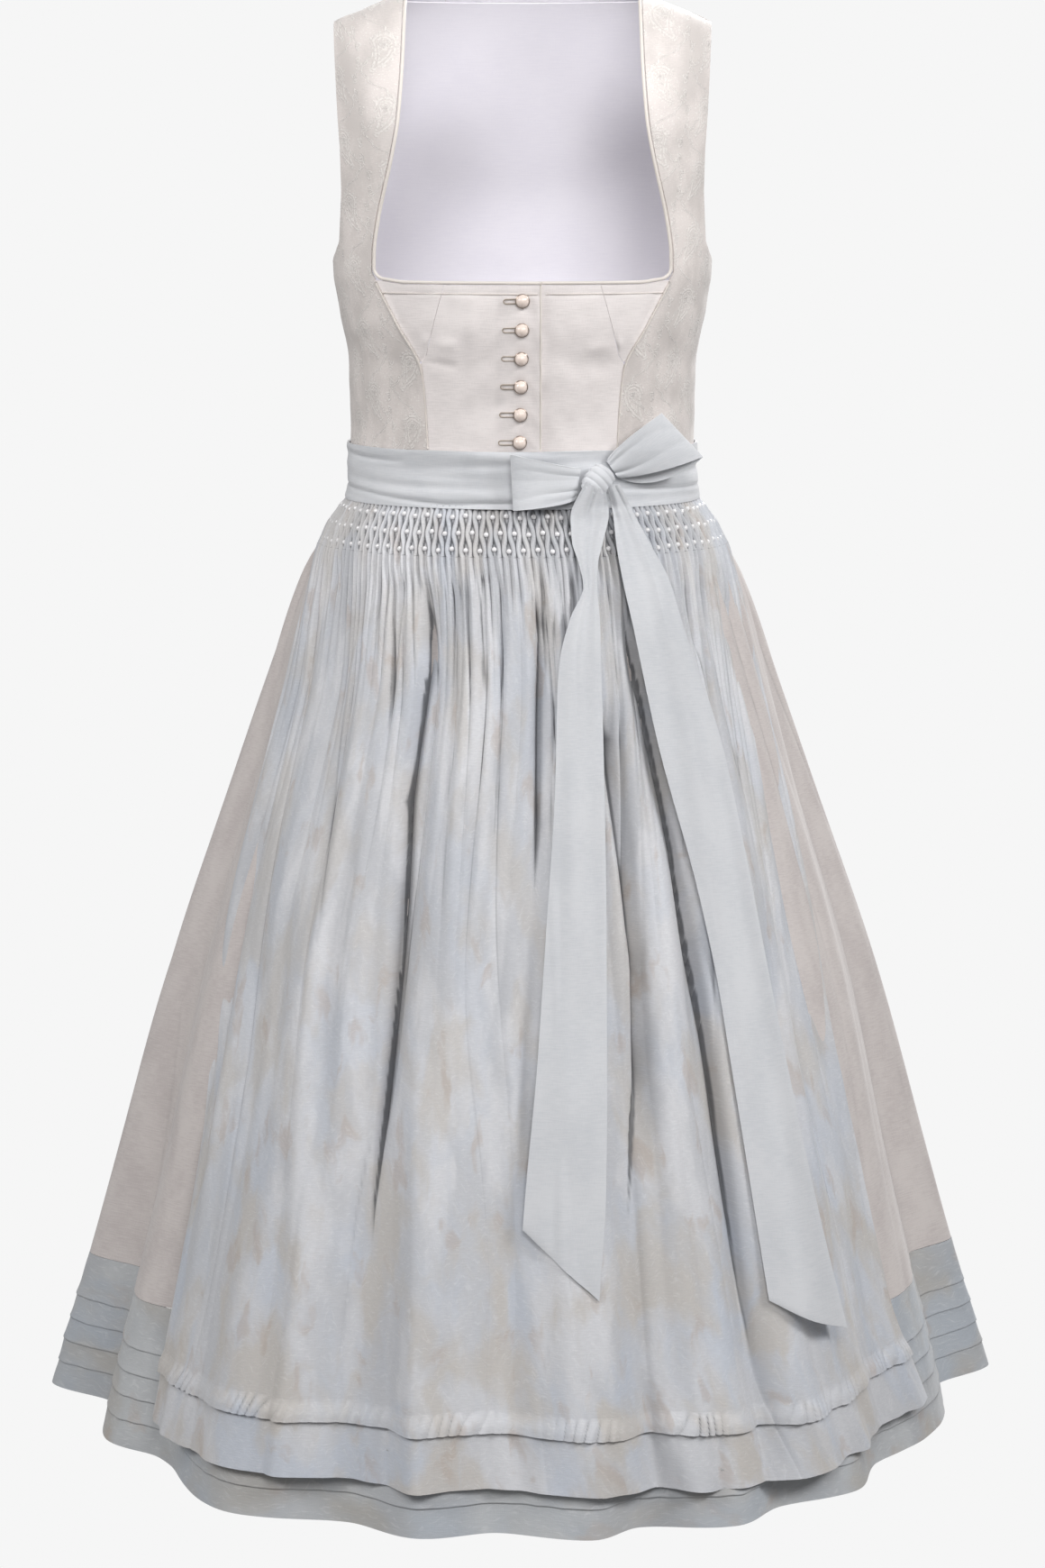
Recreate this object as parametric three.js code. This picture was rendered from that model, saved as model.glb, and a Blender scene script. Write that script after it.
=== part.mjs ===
// A dirndl, worn and hollow: a fitted bodice, an apron tied in a bow, and a full skirt.
// Millimetres, +Z up, the front faces -Y. The origin is midway between the tops of the shoulders.
import * as THREE from 'three';

// ---------------------------------------------------------------- driving dimensions
const WALL = 1.6;               // cloth wall of the bodice and the skirt
const APRON_WALL = 1.4;
const LINING_WALL = 1.0;
const SEAM = 0.3;               // gap between two pieces at a seam
const WAIST = -352;             // height of the waist seam
const HEM = -1072;              // height of the skirt's hem
const HEM_BAND_TOP = -966;      // height where the hem band is sewn on
const UNDERARM = -199;
const NECK_SIDE = 88;           // half width of the neck opening at the shoulder
const SHOULDER_SLOPE = 0.44;
const NAPE = 45;                // rounding of the shoulder line behind the neck
const SHOULDER_ROLL = 140;      // height over which a shoulder rounds over
const NECK_FRONT = -211;        // height of the front neckline
const BACK_NECK = -1;           // height of the back neckline
const CUP_POINT = -270;         // where the two front seams meet
const CUP_TIP = 3;              // the cup ends this far above that point
const BACK_SEAM = 58;           // half width of the centre back panel
const PLACKET = 14;             // how far the left front laps over the right one
const UNDERLAP = -3;            // where the right front starts under the left one
const OVERLAP_START = -20;      // where the left front begins to step out
const OVERLAP_RAMP = 14;
const CUP_CORNER = -208.5;      // height of the neckline's corner
const SIDE_SEAM = 0.08;         // half the side seam's gap, in degrees
const BACK_BLEND = -100;        // above this height the back's rows follow its neckline
const LINING_TRIM = 3;          // degrees between the lining's edge and the armhole
const LINING_GAP = 0.8;
const LINING_START = 3;         // first of the back's levels that the lining reaches down to
const SIDE_COLUMNS = 5;         // columns of points across a side back
const CENTRE_COLUMNS = 6;       // columns of points across the centre back
const LINING_DROP = 3;          // the lining ends below the edge of the back
const PIPING = 1.3;             // radius of the neckline piping
const SEAM_PIPING = 1.0;        // radius of the princess seam's piping
const CORNER_ROUND = 9;         // rounding of the neckline's corners
const CORNER_START = 84;        // the front neckline rises from here to its corner
const CORNER_SPAN = 24;
const BAND_TOP = -332;
const BAND_BOTTOM = -374;
const BAND_WALL = 2.0;
const SMOCK_TOP_GAP = 0.8;      // the smocking starts this far under the band
const SMOCK_BOTTOM = -407;
const SMOCK_CELLS = 42;
const SMOCK_COLUMNS = 4 * SMOCK_CELLS;
const SMOCK_RAISE = 1.7;
const GATHERS = 28;             // small folds under the smocking
const APRON_HEM = -1040;
const TUCK_HEIGHT = 15;
const FLOUNCE = 38;             // apron below its tuck
const BUTTON_COUNT = 6;
const BUTTON_TOP = -222;
const BUTTON_PITCH = 20.6;
const BUTTON_RADIUS = 5.3;
const BUTTON_DRIFT = -0.4;      // each button sits this much further to the viewer's left
const FOLD_START = -392;        // the large folds grow from here down to the hem
const FOLD_RISE = 0.85;
const SKIRT_STEP = 5.2;         // degrees between points round the skirt
const HEM_TUCKS = [-1000, -1018, -1035, -1052];
const HEM_TUCK_RAISE = 1.8;
const HEM_TUCK_STEP = 0.8;
const APRON_GAP_TOP = 1.4;      // gap between the apron and the skirt at the waist
const APRON_GAP_HEM = 5;
const APRON_EASE_TOP = -380;    // the gap widens from here
const APRON_EASE_END = -700;    // down to here
const APRON_DIP = 7;            // how much lower the apron hangs at one side
const APRON_DIP_AT = 31;
const APRON_DIP_WIDTH = 20;
const APRON_DIP_END = -1007;    // the dip is full from here down
const GATHER_DEPTH = 3.4;
const GATHER_END = -640;        // the gathers have faded here
const TUCK_STAND = 3.3;
const TUCK_PUCKER = 1.3;
const PUCKERS = 46;
const PUCKER_EDGE = 0.3;        // share of a pucker's height left at the tuck's edges
const FLOUNCE_TUCKED = 4;       // how far the flounce reaches up under the tuck
const BAND_GAP = 0.6;
const BAND_STEPS = 60;
const BAND_FOLD = 1.5;          // height of the band's folds
const BAND_FOLDS = 2;           // folds up the band's height
const BAND_TURNS = 6;           // folds that run out of its edges in a turn round the body
const OVERLAP_BUMP_END = 20;    // half angle of the band's step over the placket
const OVERLAP_BUMP_FADE = 7;
const RIBBON_WALL = 1.4;
const RIBBON_GAP = 0.6;
const TAIL_STEPS = 17;
const TAIL_BOW = 1.5;           // how far the middle of a hanging end stands out
const LOOP_SLOPE = 0.38;        // a loop beyond the knot leaves the body's curve along a tangent
const LOOP_NECK = 1.4;          // half the space inside a loop at the knot
const LOOP_FLATTEN = 0.35;      // share by which a loop is flatter at its outer end
const BRIDGE = [-18, -9, 0, 9, 18];   // a hanging end rests on the folds within this reach
const REACH_SPAN = 88;          // half angle of the front, in degrees
const REACH_HALVINGS = 24;      // halvings that find an angle in it
const ANGLE_STEP = 0.002;       // step in radians, or share of a surface, for its slope
const HEIGHT_STEP = 0.4;        // step in mm for a surface's slope
const SAME_PLACE = 1e-6;

// The body that the bodice fits: half width, depth in front and behind, and how square.
const BODY = [
  { z: -352, half: 129, front: 100, back: 92, square: 2.15 },
  { z: -319, half: 129.5, front: 103, back: 94, square: 2.15 },
  { z: -272, half: 130.5, front: 111, back: 99, square: 2.2 },
  { z: -235, half: 137, front: 118, back: 104, square: 2.3 },
  { z: -205, half: 141.5, front: 119, back: 108, square: 2.4 },
  { z: -150, half: 143, front: 108, back: 110, square: 2.6 },
  { z: -80, half: 146, front: 98, back: 101, square: 3 },
  { z: 0, half: 150, front: 92, back: 74, square: 3.2 },
];

// The skirt without its folds.
const SKIRT = [
  { z: -352, half: 129, front: 100, back: 92, square: 2.15 },
  { z: -376, half: 131.5, front: 103, back: 95, square: 2.15 },
  { z: -394, half: 143, front: 114, back: 107, square: 2.1 },
  { z: -435, half: 165.5, front: 137, back: 133, square: 2.05 },
  { z: -517, half: 192, front: 166, back: 166, square: 2 },
  { z: -684, half: 241, front: 221, back: 223, square: 2 },
  { z: -811, half: 279, front: 263, back: 267, square: 2 },
  { z: -967, half: 322, front: 312, back: 315, square: 2 },
  { z: -1072, half: 350, front: 343, back: 345, square: 2 },
];

// Folds of the skirt: angle from the front, positive to the viewer's right, and swell at the hem.
const SKIRT_FOLDS = [
  { at: -180, swell: 14 }, { at: -168, swell: -12 }, { at: -155, swell: 16 }, { at: -141, swell: -13 },
  { at: -127, swell: 15 }, { at: -112, swell: -14 }, { at: -91, swell: 20 }, { at: -81, swell: -29 },
  { at: -66, swell: -8 }, { at: -56, swell: -26 }, { at: -35, swell: 16 }, { at: -21, swell: -6 },
  { at: -12, swell: 13 }, { at: -3, swell: -6 }, { at: 8, swell: 12 }, { at: 14, swell: -8 },
  { at: 25, swell: 12 }, { at: 33, swell: -8 }, { at: 43, swell: 1 }, { at: 54, swell: -25 },
  { at: 72, swell: -16 }, { at: 89, swell: -24 }, { at: 98, swell: 25 }, { at: 113, swell: -13 },
  { at: 128, swell: 16 }, { at: 142, swell: -14 }, { at: 156, swell: 16 }, { at: 168, swell: -12 },
];

// Folds of the apron: angle under the smocking, angle at the hem, and swell at the hem.
const APRON_FOLDS = [
  { top: -96, hem: -84, swell: -20 }, { top: -70, hem: -60, swell: -18 },
  { top: -52, hem: -46, swell: 8 }, { top: -40, hem: -37, swell: 2 },
  { top: -33, hem: -28, swell: 20 }, { top: -26, hem: -20.5, swell: -4 },
  { top: -14, hem: -12, swell: 22 }, { top: 2, hem: -4.5, swell: 0 },
  { top: 10, hem: 9, swell: 19 }, { top: 17, hem: 16.5, swell: -1 },
  { top: 22, hem: 22, swell: 19 }, { top: 27, hem: 28, swell: 2 },
  { top: 37, hem: 34, swell: 23 }, { top: 47, hem: 45, swell: 6 },
  { top: 56, hem: 53, swell: -12 }, { top: 66, hem: 63, swell: -8 },
  { top: 90, hem: 80, swell: -14 },
];

// Side edges of the apron, in degrees from the front.
const APRON_EDGES = [
  { z: -374, left: -90, right: 88 },
  { z: -440, left: -76, right: 79 },
  { z: -520, left: -69, right: 73 },
  { z: -660, left: -67, right: 67.5 },
  { z: -785, left: -61, right: 62 },
  { z: -950, left: -57, right: 61 },
  { z: -1055, left: -58, right: 67 },
];

// Inner edge of a side front: the princess seam below the neckline corner, the neckline above it.
const SIDE_FRONT_EDGE = [
  { z: -352, x: 68.5 }, { z: -329, x: 69.5 }, { z: -300, x: 71 }, { z: -273, x: 73.8 },
  { z: -240, x: 91 }, { z: -208, x: 107.5 }, { z: -202, x: 110.3 }, { z: -189, x: 110.1 },
  { z: -165, x: 107 }, { z: -143, x: 102.3 }, { z: -116, x: 96.2 }, { z: -89, x: 91.8 },
  { z: -44, x: 88.9 }, { z: 0, x: NECK_SIDE },
];

// Seam between the centre front and the cup, above the point where it meets the princess seam.
const CUP_SEAM = [
  { z: CUP_POINT, x: 75 }, { z: -262, x: 70 }, { z: -245, x: 66 }, { z: -227, x: 61.3 },
  { z: NECK_FRONT, x: 56.6 },
];

// Armhole edge, in degrees from the front.
const ARMHOLE = [
  { z: -352, at: 90 }, { z: UNDERARM, at: 90 }, { z: -196, at: 80 }, { z: -190, at: 72 },
  { z: -182, at: 66 }, { z: -144, at: 61 }, { z: -109, at: 58.6 }, { z: -72, at: 58 }, { z: 0, at: 57 },
];

// Edges of the two hanging bow ends: left edge, right edge, their heights, and how much further
// a row stands out than the bridged folds behind it, or settles back between them.
const LEFT_TAIL = [
  { x0: 44, z0: -361.9, x1: 59, z1: -360.3, out: 6.5 }, { x0: 35, z0: -378, x1: 63, z1: -377, out: 3 },
  { x0: 36, z0: -395, x1: 59, z1: -395, out: 0.5 }, { x0: 41, z0: -411, x1: 55, z1: -411, out: 0 },
  { x0: 44, z0: -427, x1: 54, z1: -427, out: -1 }, { x0: 34, z0: -450, x1: 56, z1: -450, out: -1.2 },
  { x0: 26, z0: -486, x1: 57, z1: -486, out: -1.2 }, { x0: 23, z0: -575, x1: 59, z1: -575, out: -0.8 },
  { x0: 17, z0: -662, x1: 60, z1: -662, out: -0.8 }, { x0: 10, z0: -760, x1: 60, z1: -760, out: -1 },
  { x0: 3, z0: -830, x1: 59, z1: -840, out: -1.2 }, { x0: 0, z0: -865, x1: 54, z1: -912, out: -1.3 },
];
const RIGHT_TAIL = [
  { x0: 62, z0: -358, x1: 71, z1: -355.4, out: 7 }, { x0: 66, z0: -377, x1: 81, z1: -376, out: 3 },
  { x0: 68.5, z0: -399, x1: 93, z1: -398, out: 0 }, { x0: 73, z0: -424, x1: 107, z1: -424, out: -3 },
  { x0: 81, z0: -459, x1: 118, z1: -459, out: -4 }, { x0: 98, z0: -538, x1: 145, z1: -540, out: -6 },
  { x0: 125, z0: -635, x1: 166, z1: -638, out: -5 }, { x0: 139, z0: -697, x1: 178, z1: -700, out: -4.5 },
  { x0: 152, z0: -775, x1: 194, z1: -779, out: -3.5 }, { x0: 165, z0: -856, x1: 212, z1: -862, out: -1.8 },
  { x0: 172, z0: -900, x1: 224, z1: -912, out: -1.5 }, { x0: 176, z0: -924, x1: 234, z1: -951, out: -1 },
];

// The bow's loops: corners at the knot and at the outer end, how far each swells, and its gap
// to the highest fold of the band.
const LEFT_LOOP = {
  knotTop: { x: 40, z: -345 }, knotBottom: { x: 39, z: -362.5 },
  endTop: { x: -8, z: -333 }, endBottom: { x: -6, z: -374 }, depth: 6, rest: 0.3,
};
const RIGHT_LOOP = {
  knotTop: { x: 69.5, z: -337.5 }, knotBottom: { x: 72, z: -352 },
  endTop: { x: 102, z: -305 }, endBottom: { x: 133, z: -338 }, depth: 8, rest: -0.3,
};
const KNOT = { x: 56, z: -351, wide: 30, tall: 19, deep: 15, tilt: 0.35, out: 1.4 };

const COLOURS = {
  jacquard: { color: 0xdcd5d1, roughness: 0.62, metalness: 0 },
  silk: { color: 0xdcd6d5, roughness: 0.6, metalness: 0 },
  lining: { color: 0xe5e3e8, roughness: 0.6, metalness: 0 },
  piping: { color: 0xdad3ce, roughness: 0.55, metalness: 0 },
  pearl: { color: 0xe9dcd2, roughness: 0.22, metalness: 0 },
  band: { color: 0xd0d3d6, roughness: 0.5, metalness: 0 },
  apron: { color: 0xc3c5ca, roughness: 0.5, metalness: 0 },
  skirt: { color: 0xc6bcb8, roughness: 0.65, metalness: 0 },
  hemBand: { color: 0xaaaeb1, roughness: 0.55, metalness: 0 },
};

// ---------------------------------------------------------------- small helpers
const radians = THREE.MathUtils.degToRad;
const degrees = THREE.MathUtils.radToDeg;
const clamp = THREE.MathUtils.clamp;
const lerp = THREE.MathUtils.lerp;
const smooth = (t) => THREE.MathUtils.smoothstep(t, 0, 1);
const steps = (count) => Array.from({ length: count + 1 }, (_, i) => i / count);

// Value of a named column of a table at a height, on a smooth curve through its rows.
function column(rows, name, z) {
  const last = rows.length - 1;
  const rising = rows[last].z > rows[0].z;
  let i = 0;
  while (i < last - 1 && (rising ? z > rows[i + 1].z : z < rows[i + 1].z)) i += 1;
  const t = clamp((z - rows[i].z) / (rows[i + 1].z - rows[i].z), 0, 1);
  const slopeAt = (k) => {
    if (k === 0 || k === last) return null;
    const before = (rows[k][name] - rows[k - 1][name]) / (rows[k].z - rows[k - 1].z);
    const after = (rows[k + 1][name] - rows[k][name]) / (rows[k + 1].z - rows[k].z);
    return before * after <= 0 ? 0 : (2 * before * after) / (before + after);
  };
  const span = rows[i + 1].z - rows[i].z;
  const chord = (rows[i + 1][name] - rows[i][name]) / span;
  const start = slopeAt(i) ?? chord;
  const end = slopeAt(i + 1) ?? chord;
  const square = t * t;
  const cube = square * t;
  return rows[i][name] * (2 * cube - 3 * square + 1) + start * span * (cube - 2 * square + t)
    + rows[i + 1][name] * (3 * square - 2 * cube) + end * span * (cube - square);
}

// Straight lines between the rows of a table.
function straight(table, name, z) {
  let i = 0;
  while (i < table.length - 2 && z > table[i + 1].z) i += 1;
  const t = clamp((z - table[i].z) / (table[i + 1].z - table[i].z), 0, 1);
  return lerp(table[i][name], table[i + 1][name], t);
}

// Swell of a row of folds at an angle: half waves between ridges and troughs.
function foldSwell(folds, angleOf, degree, round) {
  const count = folds.length;
  for (let i = 0; i < count; i += 1) {
    const here = angleOf(folds[i]);
    const wraps = i === count - 1;
    if (wraps && !round) break;
    const next = wraps ? angleOf(folds[0]) + 360 : angleOf(folds[i + 1]);
    const at = wraps && degree < here ? degree + 360 : degree;
    if (at >= here && at <= next) {
      return lerp(folds[i].swell, folds[(i + 1) % count].swell, smooth((at - here) / (next - here)));
    }
  }
  return degree < angleOf(folds[0]) ? folds[0].swell : folds[count - 1].swell;
}

// ---------------------------------------------------------------- mesh building
// A row is a list of { at, point }: its points in order, each with its place from 0 to 1.
class Skin {
  constructor() {
    this.positions = [];
    this.triangles = [];
  }

  row(points, closed) {
    const row = points.map((entry) => {
      this.positions.push(entry.point.x, entry.point.y, entry.point.z);
      return { at: entry.at, index: this.positions.length / 3 - 1 };
    });
    if (closed) row.push({ at: 1, index: row[0].index });
    return row;
  }

  distance(a, b) {
    const at = (entry) => new THREE.Vector3().fromArray(this.positions, 3 * entry.index);
    return at(a).distanceTo(at(b));
  }

  // Triangles between two rows. Where both rows step together, the shorter diagonal is taken.
  strip(upper, lower) {
    let i = 0;
    let k = 0;
    while (i < upper.length - 1 || k < lower.length - 1) {
      const upperNext = i < upper.length - 1 ? upper[i + 1].at : Infinity;
      const lowerNext = k < lower.length - 1 ? lower[k + 1].at : Infinity;
      const together = Math.abs(upperNext - lowerNext) < SAME_PLACE;
      const upperFirst = together
        ? this.distance(upper[i + 1], lower[k]) <= this.distance(upper[i], lower[k + 1])
        : upperNext < lowerNext;
      if (upperFirst) {
        this.triangles.push(upper[i].index, lower[k].index, upper[i + 1].index);
        i += 1;
      } else {
        this.triangles.push(upper[i].index, lower[k].index, lower[k + 1].index);
        k += 1;
      }
    }
  }

  fan(row, point, flipped) {
    this.positions.push(point.x, point.y, point.z);
    const centre = this.positions.length / 3 - 1;
    for (let i = 0; i < row.length - 1; i += 1) {
      const pair = flipped ? [row[i + 1].index, row[i].index] : [row[i].index, row[i + 1].index];
      this.triangles.push(centre, ...pair);
    }
  }

  geometry() {
    const geometry = new THREE.BufferGeometry();
    const positions = new Float32Array(this.positions);
    let index = this.triangles.slice();
    let volume = 0;
    const at = (i) => new THREE.Vector3().fromArray(positions, 3 * i);
    for (let t = 0; t < index.length; t += 3) {
      volume += at(index[t]).dot(at(index[t + 1]).cross(at(index[t + 2])));
    }
    if (volume < 0) {
      index = index.map((_, i) => index[i % 3 === 1 ? i + 1 : i % 3 === 2 ? i - 1 : i]);
    }
    geometry.setAttribute('position', new THREE.BufferAttribute(positions, 3));
    geometry.setIndex(index);
    geometry.computeVertexNormals();
    return geometry;
  }
}

// A cloth wall between outer and inner rows, top row first.
function wall(outerRows, innerRows, closed) {
  const skin = new Skin();
  const outer = outerRows.map((row) => skin.row(row, closed));
  const inner = innerRows.map((row) => skin.row(row, closed));
  for (let i = 0; i < outer.length - 1; i += 1) skin.strip(outer[i], outer[i + 1]);
  for (let i = inner.length - 1; i > 0; i -= 1) skin.strip(inner[i], inner[i - 1]);
  skin.strip(inner[0], outer[0]);
  skin.strip(outer[outer.length - 1], inner[inner.length - 1]);
  if (!closed) {
    const edge = (rows, pick) => rows.map((row, i) => ({
      at: i / (rows.length - 1),
      index: pick(row).index,
    }));
    const first = (row) => row[0];
    const last = (row) => row[row.length - 1];
    skin.strip(edge(outer, first), edge(inner, first));
    skin.strip(edge(inner, last), edge(outer, last));
  }
  return skin.geometry();
}

// A wall on a surface: surface(across, down) gives its outer point, both from 0 to 1. Relief
// raises the outer points, over a plain inside. Rows below a height may have fewer points.
function surfaceWall({ surface, thickness, across, down, closed = false, relief = () => 0, plain = null,
  coarser = null }) {
  const offset = (u, v, depth) => {
    const du = ANGLE_STEP;
    const dv = ANGLE_STEP;
    const u0 = closed ? u - du : Math.max(u - du, 0);
    const u1 = closed ? u + du : Math.min(u + du, 1);
    const along = surface(u1, v).sub(surface(u0, v));
    const fall = surface(u, Math.min(v + dv, 1)).sub(surface(u, Math.max(v - dv, 0)));
    const normal = fall.cross(along).normalize();
    return surface(u, v).addScaledVector(normal, -depth);
  };
  const places = (list) => (closed ? list.slice(0, -1) : list);
  const inside = plain ?? { across, down };
  const outerRow = (v) => places(coarser && v > coarser.below ? coarser.across : across);
  const outer = down.map((v) => outerRow(v).map((u) => ({ at: u, point: offset(u, v, -relief(u, v)) })));
  const inner = inside.down.map((v) => places(inside.across).map((u) => ({
    at: u,
    point: offset(u, v, thickness),
  })));
  return wall(outer, inner, closed);
}

// A round cord along a list of points.
function cord(points, radius, sides) {
  const skin = new Skin();
  const rings = points.map((point, i) => {
    const before = points[Math.max(i - 1, 0)];
    const after = points[Math.min(i + 1, points.length - 1)];
    const along = after.clone().sub(before).normalize();
    const outward = new THREE.Vector3(point.x, point.y, 0).normalize();
    const side = along.clone().cross(outward).normalize();
    const top = side.clone().cross(along).normalize();
    const ring = steps(sides).slice(0, -1).map((t) => ({
      at: t,
      point: point.clone()
        .addScaledVector(side, radius * Math.cos(2 * Math.PI * t))
        .addScaledVector(top, radius * Math.sin(2 * Math.PI * t)),
    }));
    return skin.row(ring, true);
  });
  for (let i = 0; i < rings.length - 1; i += 1) skin.strip(rings[i], rings[i + 1]);
  skin.fan(rings[0], points[0], false);
  skin.fan(rings[rings.length - 1], points[points.length - 1], true);
  return skin.geometry();
}

const dirndl = new THREE.Group();

function piece(name, geometry, look) {
  const mesh = new THREE.Mesh(geometry, new THREE.MeshStandardMaterial(COLOURS[look]));
  mesh.name = name;
  dirndl.add(mesh);
  return mesh;
}

// ---------------------------------------------------------------- the body surface
const ridge = (x) => SHOULDER_SLOPE * (Math.hypot(NECK_SIDE, NAPE) - Math.hypot(x, NAPE));
const lift = (level) => clamp((level - UNDERARM) / -UNDERARM, 0, 1) ** 2;

// Radius of a unit squared circle at an angle from the front.
function squared(angle, square) {
  const power = Math.abs(Math.cos(angle)) ** square + Math.abs(Math.sin(angle)) ** square;
  return power ** (-1 / square);
}

// Point of the bodice's outer surface: degrees from the front, and the height before the
// shoulder's slope lifts or drops it.
function bodyPoint(degree, level) {
  const angle = radians(degree);
  const facing = Math.cos(angle);
  const radius = squared(angle, column(BODY, 'square', level));
  const depth = column(BODY, facing >= 0 ? 'front' : 'back', level);
  const x = column(BODY, 'half', level) * radius * Math.sin(angle);
  const z = level + ridge(x) * lift(level);
  const below = clamp((ridge(x) - z) / SHOULDER_ROLL, 0, 1);
  const roll = Math.sqrt(1 - (1 - below) ** 2);
  const parting = (SEAM / 2) * lift(level);
  const y = depth * radius * Math.abs(facing) * roll + parting;
  return new THREE.Vector3(x, facing >= 0 ? -y : y, z);
}

// Angle of a point of the bodice at a distance from the middle.
function degreeAt(x, level, behind = false) {
  const ratio = clamp(Math.abs(x) / column(BODY, 'half', level), 0, 1);
  const square = column(BODY, 'square', level);
  const rest = (1 - ratio ** square) ** (1 / square);
  const degree = degrees(Math.atan2(ratio, rest));
  return (x < 0 ? -1 : 1) * (behind ? 180 - degree : degree);
}

// Outward direction of the bodice. At the shoulder seam it points up, so that the two sides meet.
function bodyNormal(degree, level) {
  const crown = level > -HEIGHT_STEP;
  const upper = bodyPoint(degree, Math.min(level + HEIGHT_STEP, 0));
  const lower = bodyPoint(degree, level - HEIGHT_STEP);
  const turn = degrees(ANGLE_STEP);
  const along = bodyPoint(degree + turn, level).sub(bodyPoint(degree - turn, level));
  const normal = along.cross(upper.sub(lower)).normalize();
  if (crown) normal.set(0, 0, 1);
  return normal;
}

// A bodice panel between two edges, each an angle at a level, from its levels at each place.
function bodicePanel({ across, levels, left, right, thickness = WALL, inset = 0, standOff = () => 0,
  degreeOf = (level, u) => lerp(left(level), right(level), u) }) {
  const grid = (depth) => levels(0).map((_, j) => across.map((u) => {
    const level = levels(u)[j];
    const degree = degreeOf(level, u);
    const point = bodyPoint(degree, level);
    return { at: u, point: point.addScaledVector(bodyNormal(degree, level), standOff(point.x) - depth) };
  })).reverse();
  return wall(grid(inset), grid(inset + thickness), false);
}

const SEAM_HALF = SEAM / 2;
const evenly = (from, to, count) => steps(count).map((t) => lerp(from, to, t));

// The left front's overlap steps out over the right front.
const overlap = (x) => (WALL + SEAM) * smooth((x - OVERLAP_START) / OVERLAP_RAMP);

// ---------------------------------------------------------------- bodice, front
const UPPER_LEVELS = [UNDERARM, -194, -186, -165, -138, -105, -70, -40, -18, -5, 0];
const SIDE_LEVELS = [WAIST, -318, -285, -252, -222, ...UPPER_LEVELS];
const cupRows = CUP_SEAM.slice(1, -1).map((row) => row.z);
const frontLevels = [WAIST, -318, -290, CUP_POINT, ...cupRows, NECK_FRONT];
const sideFrontLevels = [WAIST, -318, -290, CUP_POINT, ...cupRows, CUP_CORNER, ...UPPER_LEVELS];
const princessEdge = (level) => column(SIDE_FRONT_EDGE, 'x', level);
const cupEdge = (level) => (level <= CUP_POINT ? princessEdge(level) : straight(CUP_SEAM, 'x', level));
piece('centre_front_left', bodicePanel({
  across: [0, 0.2, 0.4, 0.58, 0.72, 0.86, 1],
  levels: () => frontLevels,
  left: (level) => degreeAt(-cupEdge(level) + SEAM_HALF, level),
  right: (level) => degreeAt(PLACKET, level),
  standOff: overlap,
}), 'silk');
piece('centre_front_right', bodicePanel({
  across: steps(5),
  levels: () => frontLevels,
  left: (level) => degreeAt(UNDERLAP, level),
  right: (level) => degreeAt(cupEdge(level) - SEAM_HALF, level),
}), 'silk');

const armhole = (level) => straight(ARMHOLE, 'at', level);
const neckLevel = (x) => lerp(
  NECK_FRONT, CUP_CORNER, smooth((Math.abs(x) - CORNER_START) / CORNER_SPAN));
const cupLevels = (u) => {
  const top = neckLevel(lerp(princessEdge(CUP_CORNER), cupEdge(NECK_FRONT), u));
  return [CUP_POINT + CUP_TIP, ...cupRows, top];
};

// A front or back piece is made once and mirrored: side -1 is the viewer's left.
function pair(name, look, make) {
  piece(`${name}_left`, make(-1), look);
  piece(`${name}_right`, make(1), look);
}

// Edges run from the viewer's left to right, so a mirrored panel swaps them.
function mirrored(side, inner, outer) {
  const at = (edge) => (level) => side * edge(level);
  return side < 0 ? { left: at(outer), right: at(inner) } : { left: at(inner), right: at(outer) };
}

pair('cup', 'silk', (side) => bodicePanel({
  across: steps(2),
  levels: (u) => cupLevels(side < 0 ? u : 1 - u),
  ...mirrored(side,
    (level) => degreeAt(cupEdge(level) + SEAM_HALF, level),
    (level) => degreeAt(princessEdge(level) - SEAM_HALF, level)),
}));

pair('side_front', 'jacquard', (side) => bodicePanel({
  across: steps(5),
  levels: () => sideFrontLevels,
  ...mirrored(side,
    (level) => degreeAt(princessEdge(level) + (level <= CUP_CORNER ? SEAM_HALF : 0), level),
    (level) => armhole(level) - (level < UNDERARM + 1 ? SIDE_SEAM : 0)),
}));

// ---------------------------------------------------------------- bodice, back
// Level at which the back reaches its neckline at a distance from the middle.
function backNeckLevel(x) {
  let level = 0;
  for (let i = 0; i < 12; i += 1) level = BACK_NECK - ridge(x) * lift(level);
  return Math.abs(x) < NECK_SIDE ? Math.min(level, 0) : 0;
}

function backLevels(crown) {
  return SIDE_LEVELS.map((level) => (level < BACK_BLEND ? level : lerp(
    BACK_BLEND, crown, (level - BACK_BLEND) / -BACK_BLEND)));
}

pair('side_back', 'jacquard', (side) => {
  const inner = (level) => degreeAt(BACK_SEAM + SEAM_HALF, level, true);
  const outer = (level) => 180 - armhole(level) + (level < UNDERARM + 1 ? SIDE_SEAM : 0);
  const crownX = (u) => bodyPoint(lerp(inner(0), outer(0), u), 0).x;
  const place = (u) => (side < 0 ? 1 - u : u);
  const edges = mirrored(side, inner, outer);
  return bodicePanel({
    across: steps(SIDE_COLUMNS),
    levels: (u) => backLevels(backNeckLevel(crownX(place(u)))),
    left: edges.left,
    right: edges.right,
  });
});

piece('centre_back', bodicePanel({
  across: steps(CENTRE_COLUMNS),
  levels: (u) => backLevels(backNeckLevel(lerp(-BACK_SEAM, BACK_SEAM, u))),
  left: (level) => degreeAt(-BACK_SEAM + SEAM_HALF, level, true),
  right: (level) => degreeAt(BACK_SEAM - SEAM_HALF, level, true) - 360,
}), 'jacquard');

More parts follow.
